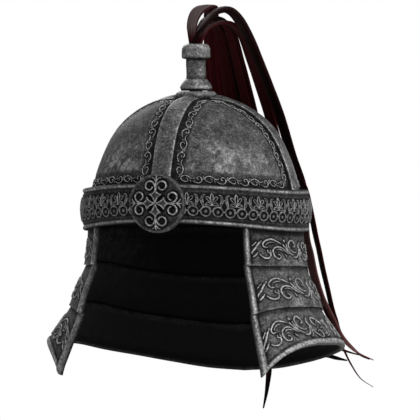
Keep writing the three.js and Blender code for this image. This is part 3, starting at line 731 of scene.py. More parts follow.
def medallion():
    cx, cz = 0.0, 10.1
    back = -114.4
    R = 30.5
    pts, wid = [], []
    for k in range(4):
        a = math.radians(90 * k)
        rot = np.array([[math.cos(a), math.sin(a)], [-math.sin(a), math.cos(a)]])
        for p, w in arm_lines():
            size = np.linalg.norm(np.diff(p, axis=0), axis=1).sum()
            q = spline(p, max(8, int(size / 0.35)))
            pts.append(q @ rot * 1.03)
            wid.append(taper(len(q), w * 1.12, 0.5))
    pts, wid = np.vstack(pts), np.concatenate(wid)
    tree = KDTree(len(pts))
    for i, p in enumerate(pts):
        tree.insert((p[0], p[1], 0), i)
    tree.balance()
    b = Build()
    nr, na = 74, 320
    rad = np.r_[0.06, np.linspace(0.45, 28.6, nr - 8), 29.1, 29.5, 29.85, 30.15, 30.35, 30.48, 30.5]
    edge_h = np.r_[np.zeros(nr - 7), -0.12, -0.36, -0.75, -1.25, -1.85, -2.6, -3.3]
    edge_h = edge_h[-len(rad):] if len(edge_h) > len(rad) else np.r_[np.zeros(len(rad) - len(edge_h)), edge_h]
    ang = np.arange(na) * 2 * math.pi / na
    A, Rr = np.meshgrid(ang, rad, indexing="ij")
    X, Z = Rr * np.sin(A), Rr * np.cos(A)
    dome = 9.2 - (9.2 - 4.7) * (Rr / R) ** 2
    flat = np.column_stack([X.ravel(), Z.ravel(), np.zeros(X.size)])
    found = [tree.find(p) for p in flat]
    d = np.array([f[2] for f in found]).reshape(X.shape)
    w = wid[np.array([f[1] for f in found])].reshape(X.shape)
    line = 1 - ease(d, w * 0.22, w * 0.78)
    channel = (1 - ease(d, w * 0.6 + 0.5, w * 0.6 + 2.5)) * (1 - line)
    # the four petals between the arms
    petal = np.zeros_like(X)
    for sx in (-1, 1):
        for sz in (-1, 1):
            u = (sx * X + sz * Z) / math.sqrt(2)
            v = (sx * X - sz * Z) / math.sqrt(2)
            lens = 1.9 * np.clip(1 - ((u - 6.6) / 5.0) ** 2, 0, 1)
            petal = np.maximum(petal, (1 - ease(np.abs(v), lens * 0.55, lens + 0.35)) * (np.abs(u - 6.6) < 5.0))
    # inside each volute and diamond
    eye = np.zeros_like(X)
    gem = np.zeros_like(X)
    for k in range(4):
        a = math.radians(90 * k)
        xr, zr = X * math.cos(a) - Z * math.sin(a), X * math.sin(a) + Z * math.cos(a)
        for sx in (-1, 1):
            eye = np.maximum(eye, 1 - ease(np.hypot(xr - sx * 6.3, zr - 17.2), 1.6, 4.6))
        star = (np.abs(xr) / 5.6) ** 0.72 + (np.abs(zr - 9.1) / np.where(zr < 9.1, 7.4, 4.3)) ** 0.72
        gem = np.maximum(gem, 1 - ease(star, 0.85, 1.1))
    channel = channel * (1 - gem)
    height = dome + 0.80 * line - 1.15 * channel - 1.1 * petal * (1 - line) - 0.8 * eye * (1 - line) + 0.2 * gem
    body = np.column_stack([X.ravel(), Z.ravel(), np.zeros(X.size)])
    height = height + (value_noise(body, 9, 41) * 0.14 + value_noise(body, 3.4, 42) * 0.06).reshape(X.shape) + edge_h[None, :]
    # painted shade in the sunk channels, petals and volute eyes, and on the rim's rounded edge; the ground between the
    # lines a little darker too
    dark = np.clip(0.98 * channel + 0.95 * petal * (1 - line) + 0.75 * eye * (1 - line) + 0.2 * gem * (1 - line), 0, 0.98)
    outside = ease(Rr, 27.0, 28.5)
    dark = dark * (1 - outside) + 0.35 * outside * ease(Rr, 29.6, 30.5) + 0.30 * (1 - line) * (1 - outside) * (1 - dark)
    nz = (0.5 + 0.5 * value_noise(body, 6, 43)).reshape(X.shape)
    rimlight = np.exp(-((Rr - 29.0) / 1.1) ** 2)
    bright = np.clip(line * (0.60 + 0.40 * nz) + rimlight * 0.25 * nz + 0.10 * gem, 0, 1)
    y = back - height
    P = np.stack([cx + X, y, cz + Z], -1)
    # the disc's wall runs back to its seat on the band
    wall = P[:, -1:, :].copy()
    wall[..., 1] = back + 0.6
    P = np.concatenate([P, wall], 1)
    n = P.shape[1]
    # the wall at the disc's seat takes painted shade
    s = b.points(P, dark=np.concatenate([dark, np.full((na, 1), 0.7)], 1).ravel(), bright=np.concatenate([bright, np.zeros((na, 1))], 1).ravel())
    i = np.arange(na)[:, None]
    j = np.arange(n - 1)[None, :]
    a_, b_ = s + i * n + j, s + i * n + j + 1
    c_, d_ = s + ((i + 1) % na) * n + j + 1, s + ((i + 1) % na) * n + j
    b.quads(np.stack([a_, b_, c_, d_], -1))
    b.faces([[s + k * n for k in range(na)], [s + k * n + n - 1 for k in range(na)][::-1]])
    return b.make("roundel", BAND_STEEL, "medallion")


medallion()

# ---------------------------------------------------------------------------
# Finial: base ring and plume socket, turned
# ---------------------------------------------------------------------------
def turned(name, node, rows, count, sides, seed, material=None, ring=False):
    b = Build()
    prof = np.array([(r["r"], r["z"]) for r in rows], float)
    br = np.array([r.get("bright", 0) for r in rows], float)
    dk = np.array([r.get("dark", 0) for r in rows], float)
    ins = np.array([r.get("inside", 0) for r in rows], float)
    seg = np.r_[0, np.cumsum(np.linalg.norm(np.diff(prof, axis=0), axis=1))]
    at = np.unique(np.r_[np.linspace(0, seg[-1], count), seg])
    prof = np.column_stack([np.interp(at, seg, prof[:, 0]), np.interp(at, seg, prof[:, 1])])
    br, dk, ins = (np.interp(at, seg, x) for x in (br, dk, ins))
    deg = np.arange(sides) * 360 / sides
    P = around(prof[None, :, 0], deg[:, None], prof[None, :, 1] + 0 * deg[:, None])
    N = around(np.ones_like(P[..., 0]), np.broadcast_to(deg[:, None], P.shape[:2]), np.zeros_like(P[..., 0]))
    bump = value_noise(P, 11, seed) * 0.32 + value_noise(P, 4.2, seed + 1) * 0.13
    P = P + N * (bump * (ins < 0.5)[None, :])[..., None]
    nz = 0.5 + 0.5 * value_noise(P, 5, seed + 2)
    n = P.shape[1]
    s = b.points(P, dark=np.broadcast_to(dk, P.shape[:2]).ravel(), bright=(br[None, :] * (0.45 + 0.75 * nz)).ravel(), inside=np.broadcast_to(ins, P.shape[:2]).ravel())
    i = np.arange(sides)[:, None]
    if ring:
        b.loops((sides, n), s, True)
    else:
        j = np.arange(n - 1)[None, :]
        a_, b_ = s + i * n + j, s + i * n + j + 1
        c_, d_ = s + ((i + 1) % sides) * n + j + 1, s + ((i + 1) % sides) * n + j
        b.quads(np.stack([a_, b_, c_, d_], -1))
        b.faces([[s + k * n for k in range(sides)], [s + k * n + n - 1 for k in range(sides)][::-1]])
    return b.make(name, material or SOCKET_STEEL, node)


# painted highlight on the flange's upper faces; painted shade on its underside and on its top under the socket
turned("flange", "base_ring", [
    {"r": 7.3, "z": 124.6, "dark": 0.9}, {"r": 15.6, "z": 125.0, "dark": 0.9}, {"r": 17.0, "z": 125.3, "dark": 0.5},
    {"r": 18.6, "z": 125.1, "bright": 0.35, "dark": 0.2}, {"r": 20.2, "z": 124.0, "bright": 0.55, "dark": 0.15}, {"r": 21.3, "z": 122.4, "bright": 0.35, "dark": 0.25},
    {"r": 21.9, "z": 120.4, "dark": 0.4}, {"r": 21.7, "z": 118.6, "dark": 0.65}, {"r": 21.2, "z": 117.2, "dark": 0.9},
    {"r": 21.0, "z": 116.0, "dark": 0.9}, {"r": 7.3, "z": 116.0, "dark": 0.9},
], 60, 96, 51, ring=True)

# painted highlight on the upward shoulders; painted shade under the lips, in the grooves, at the mouth and in the bore
turned("socket", "plume_socket", [
    {"r": 0.06, "z": 110.6, "inside": 1}, {"r": 6.9, "z": 110.6, "inside": 1}, {"r": 6.9, "z": 125.7, "inside": 1},
    {"r": 15.9, "z": 125.7, "dark": 0.95}, {"r": 15.9, "z": 127.4, "dark": 0.95}, {"r": 16.5, "z": 127.9, "bright": 0.25},
    {"r": 16.8, "z": 129.0, "bright": 0.55}, {"r": 16.4, "z": 130.6, "bright": 0.3}, {"r": 15.2, "z": 132.8, "bright": 0.22},
    {"r": 13.7, "z": 135.0, "bright": 0.3}, {"r": 12.3, "z": 136.8, "bright": 0.5}, {"r": 11.5, "z": 137.5, "bright": 0.35},
    {"r": 10.5, "z": 138.3, "dark": 0.7}, {"r": 10.2, "z": 139.6, "dark": 0.45},
    {"r": 10.2, "z": 142.0, "bright": 0.05}, {"r": 10.15, "z": 150.0, "bright": 0.12}, {"r": 10.3, "z": 156.4, "dark": 0.25},
    {"r": 10.4, "z": 158.6, "dark": 0.95}, {"r": 13.9, "z": 159.2, "dark": 0.97}, {"r": 14.6, "z": 159.9, "dark": 0.55},
    {"r": 15.0, "z": 161.6, "bright": 0.35}, {"r": 15.0, "z": 167.2, "bright": 0.2}, {"r": 14.6, "z": 170.2, "bright": 0.45},
    {"r": 13.4, "z": 172.6, "bright": 0.6}, {"r": 11.2, "z": 174.2, "bright": 0.4}, {"r": 8.6, "z": 174.8, "dark": 0.3},
    {"r": 7.8, "z": 174.3, "dark": 0.9}, {"r": 7.8, "z": 142.2, "inside": 1}, {"r": 0.06, "z": 142.2, "inside": 1},
], 110, 88, 61)

# ---------------------------------------------------------------------------
# Neck guard
# ---------------------------------------------------------------------------
# The acanthus scroll of one repeat, 112 mm long. s runs back from the front
# border, v is up from the scroll's middle; w is the line's width at its fullest.
SCROLL_REPEAT = 116.0
SCROLL = [
    {"w": 2.3, "p": [(20.1, 8.5), (15.6, 3.7), (13.0, -0.5), (9.5, -4.6), (9.0, -6.9)]},
    {"w": 1.3, "p": [(14.5, 6.9), (11.5, 4.1), (9.3, 1.8)]},
    {"w": 2.0, "p": [(15.5, -4.6), (13.0, -7.8), (9.7, -10.5)]},
    {"w": 2.0, "p": [(44.5, 5.7), (39.7, 8.2), (35.0, 10.1), (31.2, 10.8), (26.5, 9.8), (22.4, 6.9), (21.2, 4.1), (23.0, 1.8), (26.6, 1.4)]},
    {"w": 1.1, "p": [(35.0, 7.3), (30.0, 7.4), (26.3, 5.9), (24.6, 3.7)]},
    {"w": 2.2, "p": [(17.0, -6.4), (20.1, -9.2), (24.2, -10.8), (27.6, -10.1), (29.8, -7.3), (28.9, -4.6), (26.2, -3.7), (26.9, -1.4)]},
    {"w": 1.5, "p": [(31.2, -4.8), (29.6, -2.7), (29.9, -0.9)]},
    {"w": 2.1, "p": [(54.5, -5.0), (49.9, -1.8), (45.0, 1.4), (40.2, 2.5), (35.6, 1.4), (33.0, -1.8), (33.3, -5.5), (35.6, -9.2), (39.5, -10.8), (42.6, -8.7), (41.2, -6.4), (38.8, -5.6)]},
    {"w": 1.1, "p": [(47.0, -2.2), (43.4, -0.5), (40.1, 0.0), (37.4, -1.0)]},
    {"w": 2.6, "p": [(48.3, 10.6), (48.8, 9.4), (49.2, 8.0)]},
    {"w": 2.3, "p": [(46.4, 6.0), (49.9, 1.8), (54.5, -2.3), (61.9, -6.6)]},
    {"w": 1.5, "p": [(51.7, 6.4), (52.1, 3.7), (53.6, 0.5), (56.0, -1.8)]},
    {"w": 1.9, "p": [(68.8, -2.3), (64.5, -3.2), (58.5, -0.9), (55.6, 2.8), (56.0, 7.3), (60.1, 10.3), (64.5, 8.7), (66.6, 5.0), (65.2, 2.7), (62.6, 3.6)]},
    {"w": 2.4, "p": [(62.6, -8.3), (68.8, -8.2), (72.9, -5.0), (75.4, 0.0), (74.0, 4.6), (77.5, 8.3)]},
    {"w": 1.4, "p": [(71.5, -11.0), (75.0, -8.0), (77.0, -3.0), (77.4, 1.4)]},
    {"w": 1.9, "p": [(88.0, -0.5), (83.6, 2.7), (84.2, 6.4), (88.0, 7.9), (94.4, 6.0), (104.0, 1.8)]},
    {"w": 1.2, "p": [(91.0, 1.6), (93.0, 3.8), (97.0, 3.4), (102.0, 0.2)]},
    {"w": 1.8, "p": [(79.0, -2.7), (80.9, -7.3), (90.4, -11.7), (94.5, -8.2), (90.4, -4.6), (87.0, -6.0)]},
    {"w": 1.7, "p": [(96.0, -2.7), (100.0, -1.8), (105.0, -4.6), (103.0, -8.6), (98.6, -7.6)]},
    {"w": 2.0, "p": [(101.0, -10.6), (106.5, -9.6), (111.0, -5.2), (113.5, 1.2), (113.0, 6.6)]},
    {"w": 1.4, "p": [(48.3, -5.5), (50.9, -8.7)]},
    {"w": 1.5, "p": [(106.5, 5.4), (109.6, 3.0), (110.8, -0.6)]},
]


def lame_edge(which, deg):
    d = np.asarray(deg, float) % 360
    d = np.where(d > 180, 360 - d, d)
    col = {"upper": 1, "middle": 2, "lower": 3}[which]
    key = "_fit_" + which
    if key not in _edge_cache:
        dense = spline(LAME_EDGES[:, [0, col]], 300)
        _edge_cache[key] = dense
    dense = _edge_cache[key]
    return np.interp(d, dense[:, 0], dense[:, 1])


_edge_cache = {}


def lame(which, node, scroll_mid, scroll_size):
    flare = spline(LAME_FLARE[which], 200)
    above = {"upper": lambda d: BAND_MID - BAND_HALF + brow(d, -BAND_HALF), "middle": lambda d: lame_edge("upper", d), "lower": lambda d: lame_edge("middle", d)}[which]
    lean = {"upper": 0.25, "middle": 0.9, "lower": 1.7}[which]
    roll = which == "lower"

    def height_span(deg):
        return above(deg) - 0.6, lame_edge(which, deg)

    def radius(t):
        return np.interp(t, flare[:, 0], flare[:, 1])

    def point(deg, t, out=0.0):
        hi, lo = height_span(deg)
        r, z = radius(t), hi + (lo - hi) * t
        dr = (radius(np.minimum(t + 0.02, 1)) - radius(np.maximum(t - 0.02, 0)))
        dz = (lo - hi) * (np.minimum(t + 0.02, 1) - np.maximum(t - 0.02, 0))
        l = np.hypot(dr, dz)
        nr, nz = -dz / l, dr / l
        return around(r + nr * out, deg, z + nz * out), around(nr, deg, nz)

    b = Build()
    marks = []
    mean_r = radius(0.5)
    half_len = math.radians(180 - LAME_END) * mean_r - 3.2
    count = max(1, int(round(half_len / (SCROLL_REPEAT * scroll_size))))
    k = half_len / (count * SCROLL_REPEAT)
    for side in (1, -1):
        for rep in range(count):
            for row in SCROLL:
                p = np.array(row["p"], float)
                size = np.linalg.norm(np.diff(p, axis=0), axis=1).sum() * k
                q = spline(p, max(5, int(size / 1.1)))
                s_mm = (q[:, 0] + rep * SCROLL_REPEAT) * k - 2.8 * (1 - q[:, 0] / SCROLL_REPEAT) * (rep == 0)
                deg = LAME_END + np.degrees(s_mm / mean_r)
                hi, lo = height_span(deg)
                span = np.hypot(hi - lo, 0) * 1.08
                t = scroll_mid - q[:, 1] * scroll_size / span
                at = deg if side > 0 else 360 - deg
                pp, nn = point(at, t, -0.25)
                b.ribbon(pp, nn, taper(len(q), row["w"] * 1.15 * scroll_size, 0.22), 1.2 * scroll_size, bright=1.0)
                marks.append(pp)
    marks = np.vstack(marks)
    tree = KDTree(len(marks))
    for i, m in enumerate(marks):
        tree.insert(m, i)
    tree.balance()

    # columns are closer along the two front borders
    near_edge = np.degrees(np.r_[np.linspace(0, 8.8, 17)] / mean_r)
    inner_cols = np.linspace(near_edge[-1], 268 - near_edge[-1], int(mean_r * math.radians(260) / 1.35))
    off = np.r_[near_edge[:-1], inner_cols, 268 - near_edge[:-1][::-1]]
    deg = LAME_END + off
    cols = len(deg)
    rows_t = np.linspace(0, 1, {"upper": 28, "middle": 38, "lower": 44}[which])
    if roll:
        rows_t = np.r_[np.linspace(0, 0.84, 34), np.linspace(0.86, 1, 13)]
    D, T = np.meshgrid(deg, rows_t, indexing="ij")
    P, N = point(D, T)
    from_front = np.minimum(D - LAME_END, 360 - LAME_END - D) * math.pi / 180 * mean_r
    hi, lo = height_span(D)
    from_low = (1 - T) * (hi - lo)
    half_round = lambda x, c, w: np.sqrt(np.clip(1 - ((x - c) / w) ** 2, 0, 1))
    border = 1.6 * half_round(from_front, 3.0, 3.2) - 0.35 * np.exp(-((from_front - 6.8) / 0.8) ** 2)
    if roll:
        bottom = 1.35 * half_round(from_low, 2.7, 2.9) - 0.35 * np.exp(-((from_low - 6.2) / 0.9) ** 2)
        border = np.maximum(border, bottom)
    else:
        border = border + 0.35 * (1 - ease(from_low, 0.0, 2.2)) * (from_front > 6)
    near = np.full(P.shape[:2], 9.0)
    zone = (from_front > 6.0)
    near[zone] = [tree.find(v)[2] for v in P[zone]]
    close = 1 - ease(near, 0.9, 3.5)
    wave = value_noise(P, 30, 71) * 0.4 + value_noise(P, 12, 72) * 0.16
    P = P + N * (border - 0.3 * close + wave * ease(from_front, 6, 14) * ease(from_low, 0, 6))[..., None]
    nz = 0.5 + 0.5 * value_noise(P, 8, 73)
    # painted highlight along the rolled border's crest, strongest near its outer edge
    on_border = (1 - ease(from_front, 4.3, 6.2)) * (0.36 + 0.64 * np.exp(-((from_front - 2.3) / 1.2) ** 2))
    if roll:
        on_border = np.maximum(on_border, half_round(from_low, 2.7, 2.6))
    inner_groove = np.exp(-((from_front - 7.3) / 1.3) ** 2)
    if roll:
        inner_groove = np.maximum(inner_groove, np.exp(-((from_low - 6.6) / 1.4) ** 2) * (from_front > 6))
    shade = 1 - ease(T * (hi - lo), 1.6, 6.5)
    # painted shade in the border's inner groove, around the scroll lines and under the lame above; also darker near the
    # front border
    dark = np.clip(0.85 * inner_groove + 0.88 * close + 0.65 * shade + 0.25 * (1 - ease(from_front, 6, 18)), 0, 0.96) * (1 - on_border * 0.95)
    rim = (1 - ease(from_low, 0.4, 2.4)) * (0 if roll else 1)
    lighter_patch = ease(T, 0.45, 0.8) * (1 - ease(T, 0.93, 1.0)) * ease(from_front, 30, 60)
    upper_lighter_patch = (1 - ease(T, 0.1, 0.42)) * ease(T, 0.06, 0.16) * ease(from_front, 20, 50)
    patch = np.clip(0.5 + 0.9 * value_noise(P, 17, 74) + 0.5 * value_noise(P, 6, 75), 0, 1)
    bright = on_border * (0.40 + 0.5 * nz) + 0.35 * rim * nz + (0.42 * lighter_patch + 0.20 * upper_lighter_patch) * patch * (1 - close)
    dark = dark * (1 - 0.7 * rim)
    # painted shadow of the band above, strongest near the upper lame's top
    if which == "upper":
        dark = np.clip(dark + (0.10 + 0.28 * (1 - ease(T, 0.1, 0.7))) * (1 - on_border), 0, 0.96)
    # the tucked flange above, then the inside of the plate; both take painted shade, lifted near the front by painted
    # light
    tuck_z = above(deg) + np.where((from_front[:, 0] > 7.5), 2.7, -0.35)
    tuck_r = radius(0) - np.where(from_front[:, 0] > 7.5, lean, 0.0)
    tuck = around(tuck_r + border[:, 0], deg, tuck_z)[:, None]
    inner_t = np.linspace(1, 0, 12)
    Di, Ti = np.meshgrid(deg, inner_t, indexing="ij")
    ff = np.minimum(Di - LAME_END, 360 - LAME_END - Di) * math.pi / 180 * mean_r
    thick = 1.6 + 2.4 * (1 - ease(ff, 3.0, 6.2))
    if roll:
        hi_i, lo_i = height_span(Di)
        thick = np.maximum(thick, 1.6 + 2.4 * (1 - ease((1 - Ti) * (hi_i - lo_i), 3.0, 7.5)))
    Pi, _ = point(Di, Ti, 0)
    Ni = point(Di, Ti, 0)[1]
    Pi = Pi - Ni * thick[..., None]
    inner_tuck = around(tuck_r - thick[:, -1], deg, tuck_z)[:, None]
    grid = np.concatenate([tuck, P, Pi, inner_tuck], 1)
    zeros = np.zeros_like(Pi[..., 0])
    full = lambda a, start, end: np.concatenate([start, a, end], 1)
    one = np.ones((cols, 1))
    inside_i = np.ones_like(zeros)
    inside_i[:, 0] = 0.55
    inside_i[ff < 3.0] = 0.7
    first = (ff < 0.3)
    inside_i[first] = 0.0
    lit = (1 - ease(ff, 100, 205)) * {"upper": 0.17, "middle": 0.09 * (1 - Ti), "lower": 0.0}[which]
    inside_i = np.where(ff < 3.0, inside_i, np.minimum(inside_i, 1 - lit))
    inside_i[:, -1] = np.minimum(inside_i[:, -1], 0.94)
    inside_i[first] = 0.93
    bright_i = np.zeros_like(zeros)
    s = b.points(grid,
                 dark=np.concatenate([one * 0.9, dark, zeros, one * 0.0], 1).ravel(),
                 bright=np.concatenate([one * 0.0, bright, bright_i, one * 0.0], 1).ravel(),
                 inside=np.concatenate([one * 0.3, np.zeros_like(dark), inside_i, one * 0.74], 1).ravel())
    L = grid.shape[1]
    b.loops((cols, L), s, False)
    n_out = 1 + len(rows_t)
    for c, flip in ((0, True), (cols - 1, False)):
        outer = [s + c * L + i for i in range(n_out)]
        inner = [s + c * L + L - 1 - i for i in range(L - n_out)]
        end_cap(b, outer, inner, flip)
    return b.make("guard_" + which, LAME_STEEL, node)


lame("upper", "lame_upper", 0.51, 1.0)
lame("middle", "lame_middle", 0.535, 1.04)
lame("lower", "lame_lower", 0.50, 1.08)

# ---------------------------------------------------------------------------
# Plume: wide flat locks of dyed horse hair, each ridged by its strands
# ---------------------------------------------------------------------------
HANG = np.array([
    # height, distance from the axis
    (183, 60.5), (158, 71.6), (133, 82.4), (100, 96), (60, 109.2), (22, 122.6),
    (-24, 132.6), (-66, 142), (-104, 151.4), (-126, 159.4), (-140, 168),
])
LOCK_AT = [0, 0.05, 0.1, 0.2, 0.3, 0.42, 0.56, 0.7, 0.84, 1]
# keep: how many rows of HANG the lock follows; ends: its way below them (reach, height, drift);
# tails: thin ends that leave it (row of HANG where they start, width, way down, tone, painted highlight).
LOCKS = [
    {"turn": 43.5, "root": (-3.4, -1.2), "apex": (36.4, 212), "spread": 0, "keep": 6, "wide": (3.6, 5.0, 11, 16, 21.5, 21.5, 19.5, 20.5, 18, 2.4), "belly": (1, 1, 1.5, 3.6, 3.8, 2.4, 1, 1, 1, 1),
     "ends": [(125.0, -24, 0), (130.0, -45, 0), (134.6, -66, 0), (141.4, -87, 0), (147.2, -99, 0), (155.0, -113, 0), (161.5, -125, 0), (172.6, -138.8, 0), (185.1, -149.2, 0), (203.6, -157.2, 0)],
     "tails": [
         {"from": (124, 18, -7), "w": 12.5, "way": [(135.4, -24, -2), (140.4, -40, 0), (145.2, -61, 0), (150.4, -81.5, 0), (155.6, -102.3, 0), (160.0, -114, 0), (165, -128, 0), (176, -141, 0), (189, -152, 0), (199, -156.5, 0)], "tone": 0.50, "highlight_amount": 0.0},
         {"from": (150, -108, 0), "w": 4.2, "way": [(160, -130, 1), (168.2, -144, 0), (177.2, -160.6, 0), (188.6, -176.2, 0), (203.4, -185.6, 0)], "tone": 0.6, "highlight_amount": 0.0},
     ]},
    {"turn": 57, "root": (4.2, 1.5), "apex": (40, 197.5), "spread": 0.4, "keep": 10, "wide": (3.6, 5.0, 9, 11, 13, 15.5, 18.5, 15, 9, 2.2), "belly": (1, 1, 1, 1.4, 1.4, 1, 1, 1, 1, 1),
     "ends": [(166, -140, -8), (172, -145.5, -23), (180, -149.5, -32), (190, -153, -41)],
     "tails": [{"from": (152, -106, 0), "w": 12, "way": [(160, -130, 2), (165, -149, 0.5), (175, -154.6, -8.8), (185, -158.2, -19.6)], "tone": 0.05, "highlight_amount": 0.0, "thick": 0.85}]},
    {"turn": 73, "root": (1.2, 2.8), "apex": (36, 202), "spread": 0.8, "keep": 11, "wide": (3.6, 4.6, 8, 11, 16, 18, 19, 16, 10, 1), "belly": (1, 1, 1, 1, 1, 1, 1, 1, 1, 1),
     "ends": [(170, -149, -4), (173, -158, -12)],
     "tails": [{"from": (152, -106, 0), "w": 5.0, "way": [(160, -126, 2), (166, -140, 4), (170, -150, 5)], "tone": 0.1, "highlight_amount": 0.0}]},
    {"turn": 84, "root": (-1.4, 3.2), "apex": (34, 201), "spread": 0.4, "keep": 10, "wide": (3.6, 4.6, 8, 11, 16, 19, 20, 16, 10.5, 1.6), "belly": (1, 1, 1, 1, 1, 1, 1, 1, 1, 1),
     "ends": [(163, -142, -3), (165.5, -165, -5.5), (165, -190, -3.5), (163.5, -210.5, 0)],
     "tails": []},
    {"turn": 96, "root": (-4.2, 0.2), "apex": (27, 211.5), "spread": 0.8, "keep": 11, "wide": (3.6, 6.0, 11, 15, 16, 18, 18, 15, 10, 1), "belly": (1, 1, 1, 1, 1, 1, 1, 1, 1, 1),
     "ends": [(169, -149, 1), (170, -156, 2)],
     "tails": [{"from": (152, -106, 0), "w": 5.0, "way": [(159, -124, 2), (163, -140, 3), (166, -148, 6)], "tone": 0.1, "highlight_amount": 0.0}]},
]


# Where along each lock its painted highlight on the top ends, and where across it
# the painted shade on its near edge gives way to the red.
HIGHLIGHT_TO = [(0.225, 0.31), (0.27, 0.35), (0.24, 0.27), (0.24, 0.27), (0.22, 0.26)]
SHADED = [(0.55, 0.95), (-1.4, -1.1), (-1.1, -0.8), (-0.7, -0.4), (-1.3, -1.0)]


def path_along(points, count):
    """Even points on a smooth curve, each with its place among the given points."""
    p = np.asarray(points, float)
    k = np.linspace(0, 1, len(p))
    q = spline(np.column_stack([p, k * 1e-6]), count)
    return q[:, :3], q[:, 3] * 1e6


def frame_of(c, side):
    t = np.gradient(c, axis=0)
    t /= np.linalg.norm(t, axis=1)[:, None]
    nrm = np.cross(np.broadcast_to(side, c.shape), t)
    nrm /= np.linalg.norm(nrm, axis=1)[:, None]
    return nrm, np.cross(t, nrm)


def hair_band(b, c, nrm, wid, width, thick, k, seed, tone, top_highlight, belly=1.0, sheen=None):
    """One closed flat band of hair with strand ridges; tone (the red dye, with painted shade and a painted edge
    highlight) and top_highlight (a painted grey-brown highlight) take the length fraction, the place across (-1 to 1)
    and the face (-1 on top of the arch, 1 under it)."""
    n = len(c)
    rng = np.random.default_rng(seed)
    ang = np.arange(k) * 2 * math.pi / k
    u, v = np.cos(ang), np.sin(ang)
    v = np.sign(v) * np.abs(v) ** 0.7
    f = np.linspace(0, 1, n)[:, None]
    drift = np.stack([np.arange(k)[None, :] * 1.0 + 0 * f, f * 9.0 + 0 * ang[None, :], 0 * f + 0 * ang[None, :] + seed], -1)
    ridge = rng.uniform(-1, 1, k)[None, :] * 0.6 + 0.6 * value_noise(drift, 1.0, seed)
    scale = np.minimum(thick, width)[:, None]
    lift = 0.10 * scale * ridge
    su = 0.5 * width[:, None] * u[None, :] + lift * 0.5 * u[None, :]
    sv = 0.5 * thick[:, None] * v[None, :] * np.where(v > 0, np.broadcast_to(belly, (n,))[:, None], 1.0) + lift * v[None, :]
    ring = c[:, None] + wid[:, None] * su[..., None] + nrm[:, None] * sv[..., None]
    strand = rng.normal(0, 1, k)[None, :] * 0.10 + 0.10 * value_noise(drift * (1, 0.4, 1), 1.0, seed + 5)
    uu, vv = np.broadcast_to(u, (n, k)), np.broadcast_to(v, (n, k))
    # dark value: dye with painted shade and painted highlight mixed in; bright value: painted highlight
    dye_and_shade = np.clip(tone(f, uu, vv) + strand, 0.0, 1)
    highlight_amount = np.clip(top_highlight(f, uu, vv) * (1 + 2.2 * strand), 0, 1)
    warm = np.clip(sheen(f, uu, vv) * (1 + 2.0 * strand), 0, 1) if sheen else np.zeros((n, k))
    s = b.points(ring, dark=dye_and_shade.ravel(), bright=highlight_amount.ravel(), inside=warm.ravel())
    b.loops((n, k), s, False)
    b.faces([[s + i for i in range(k)][::-1], [s + (n - 1) * k + i for i in range(k)]])


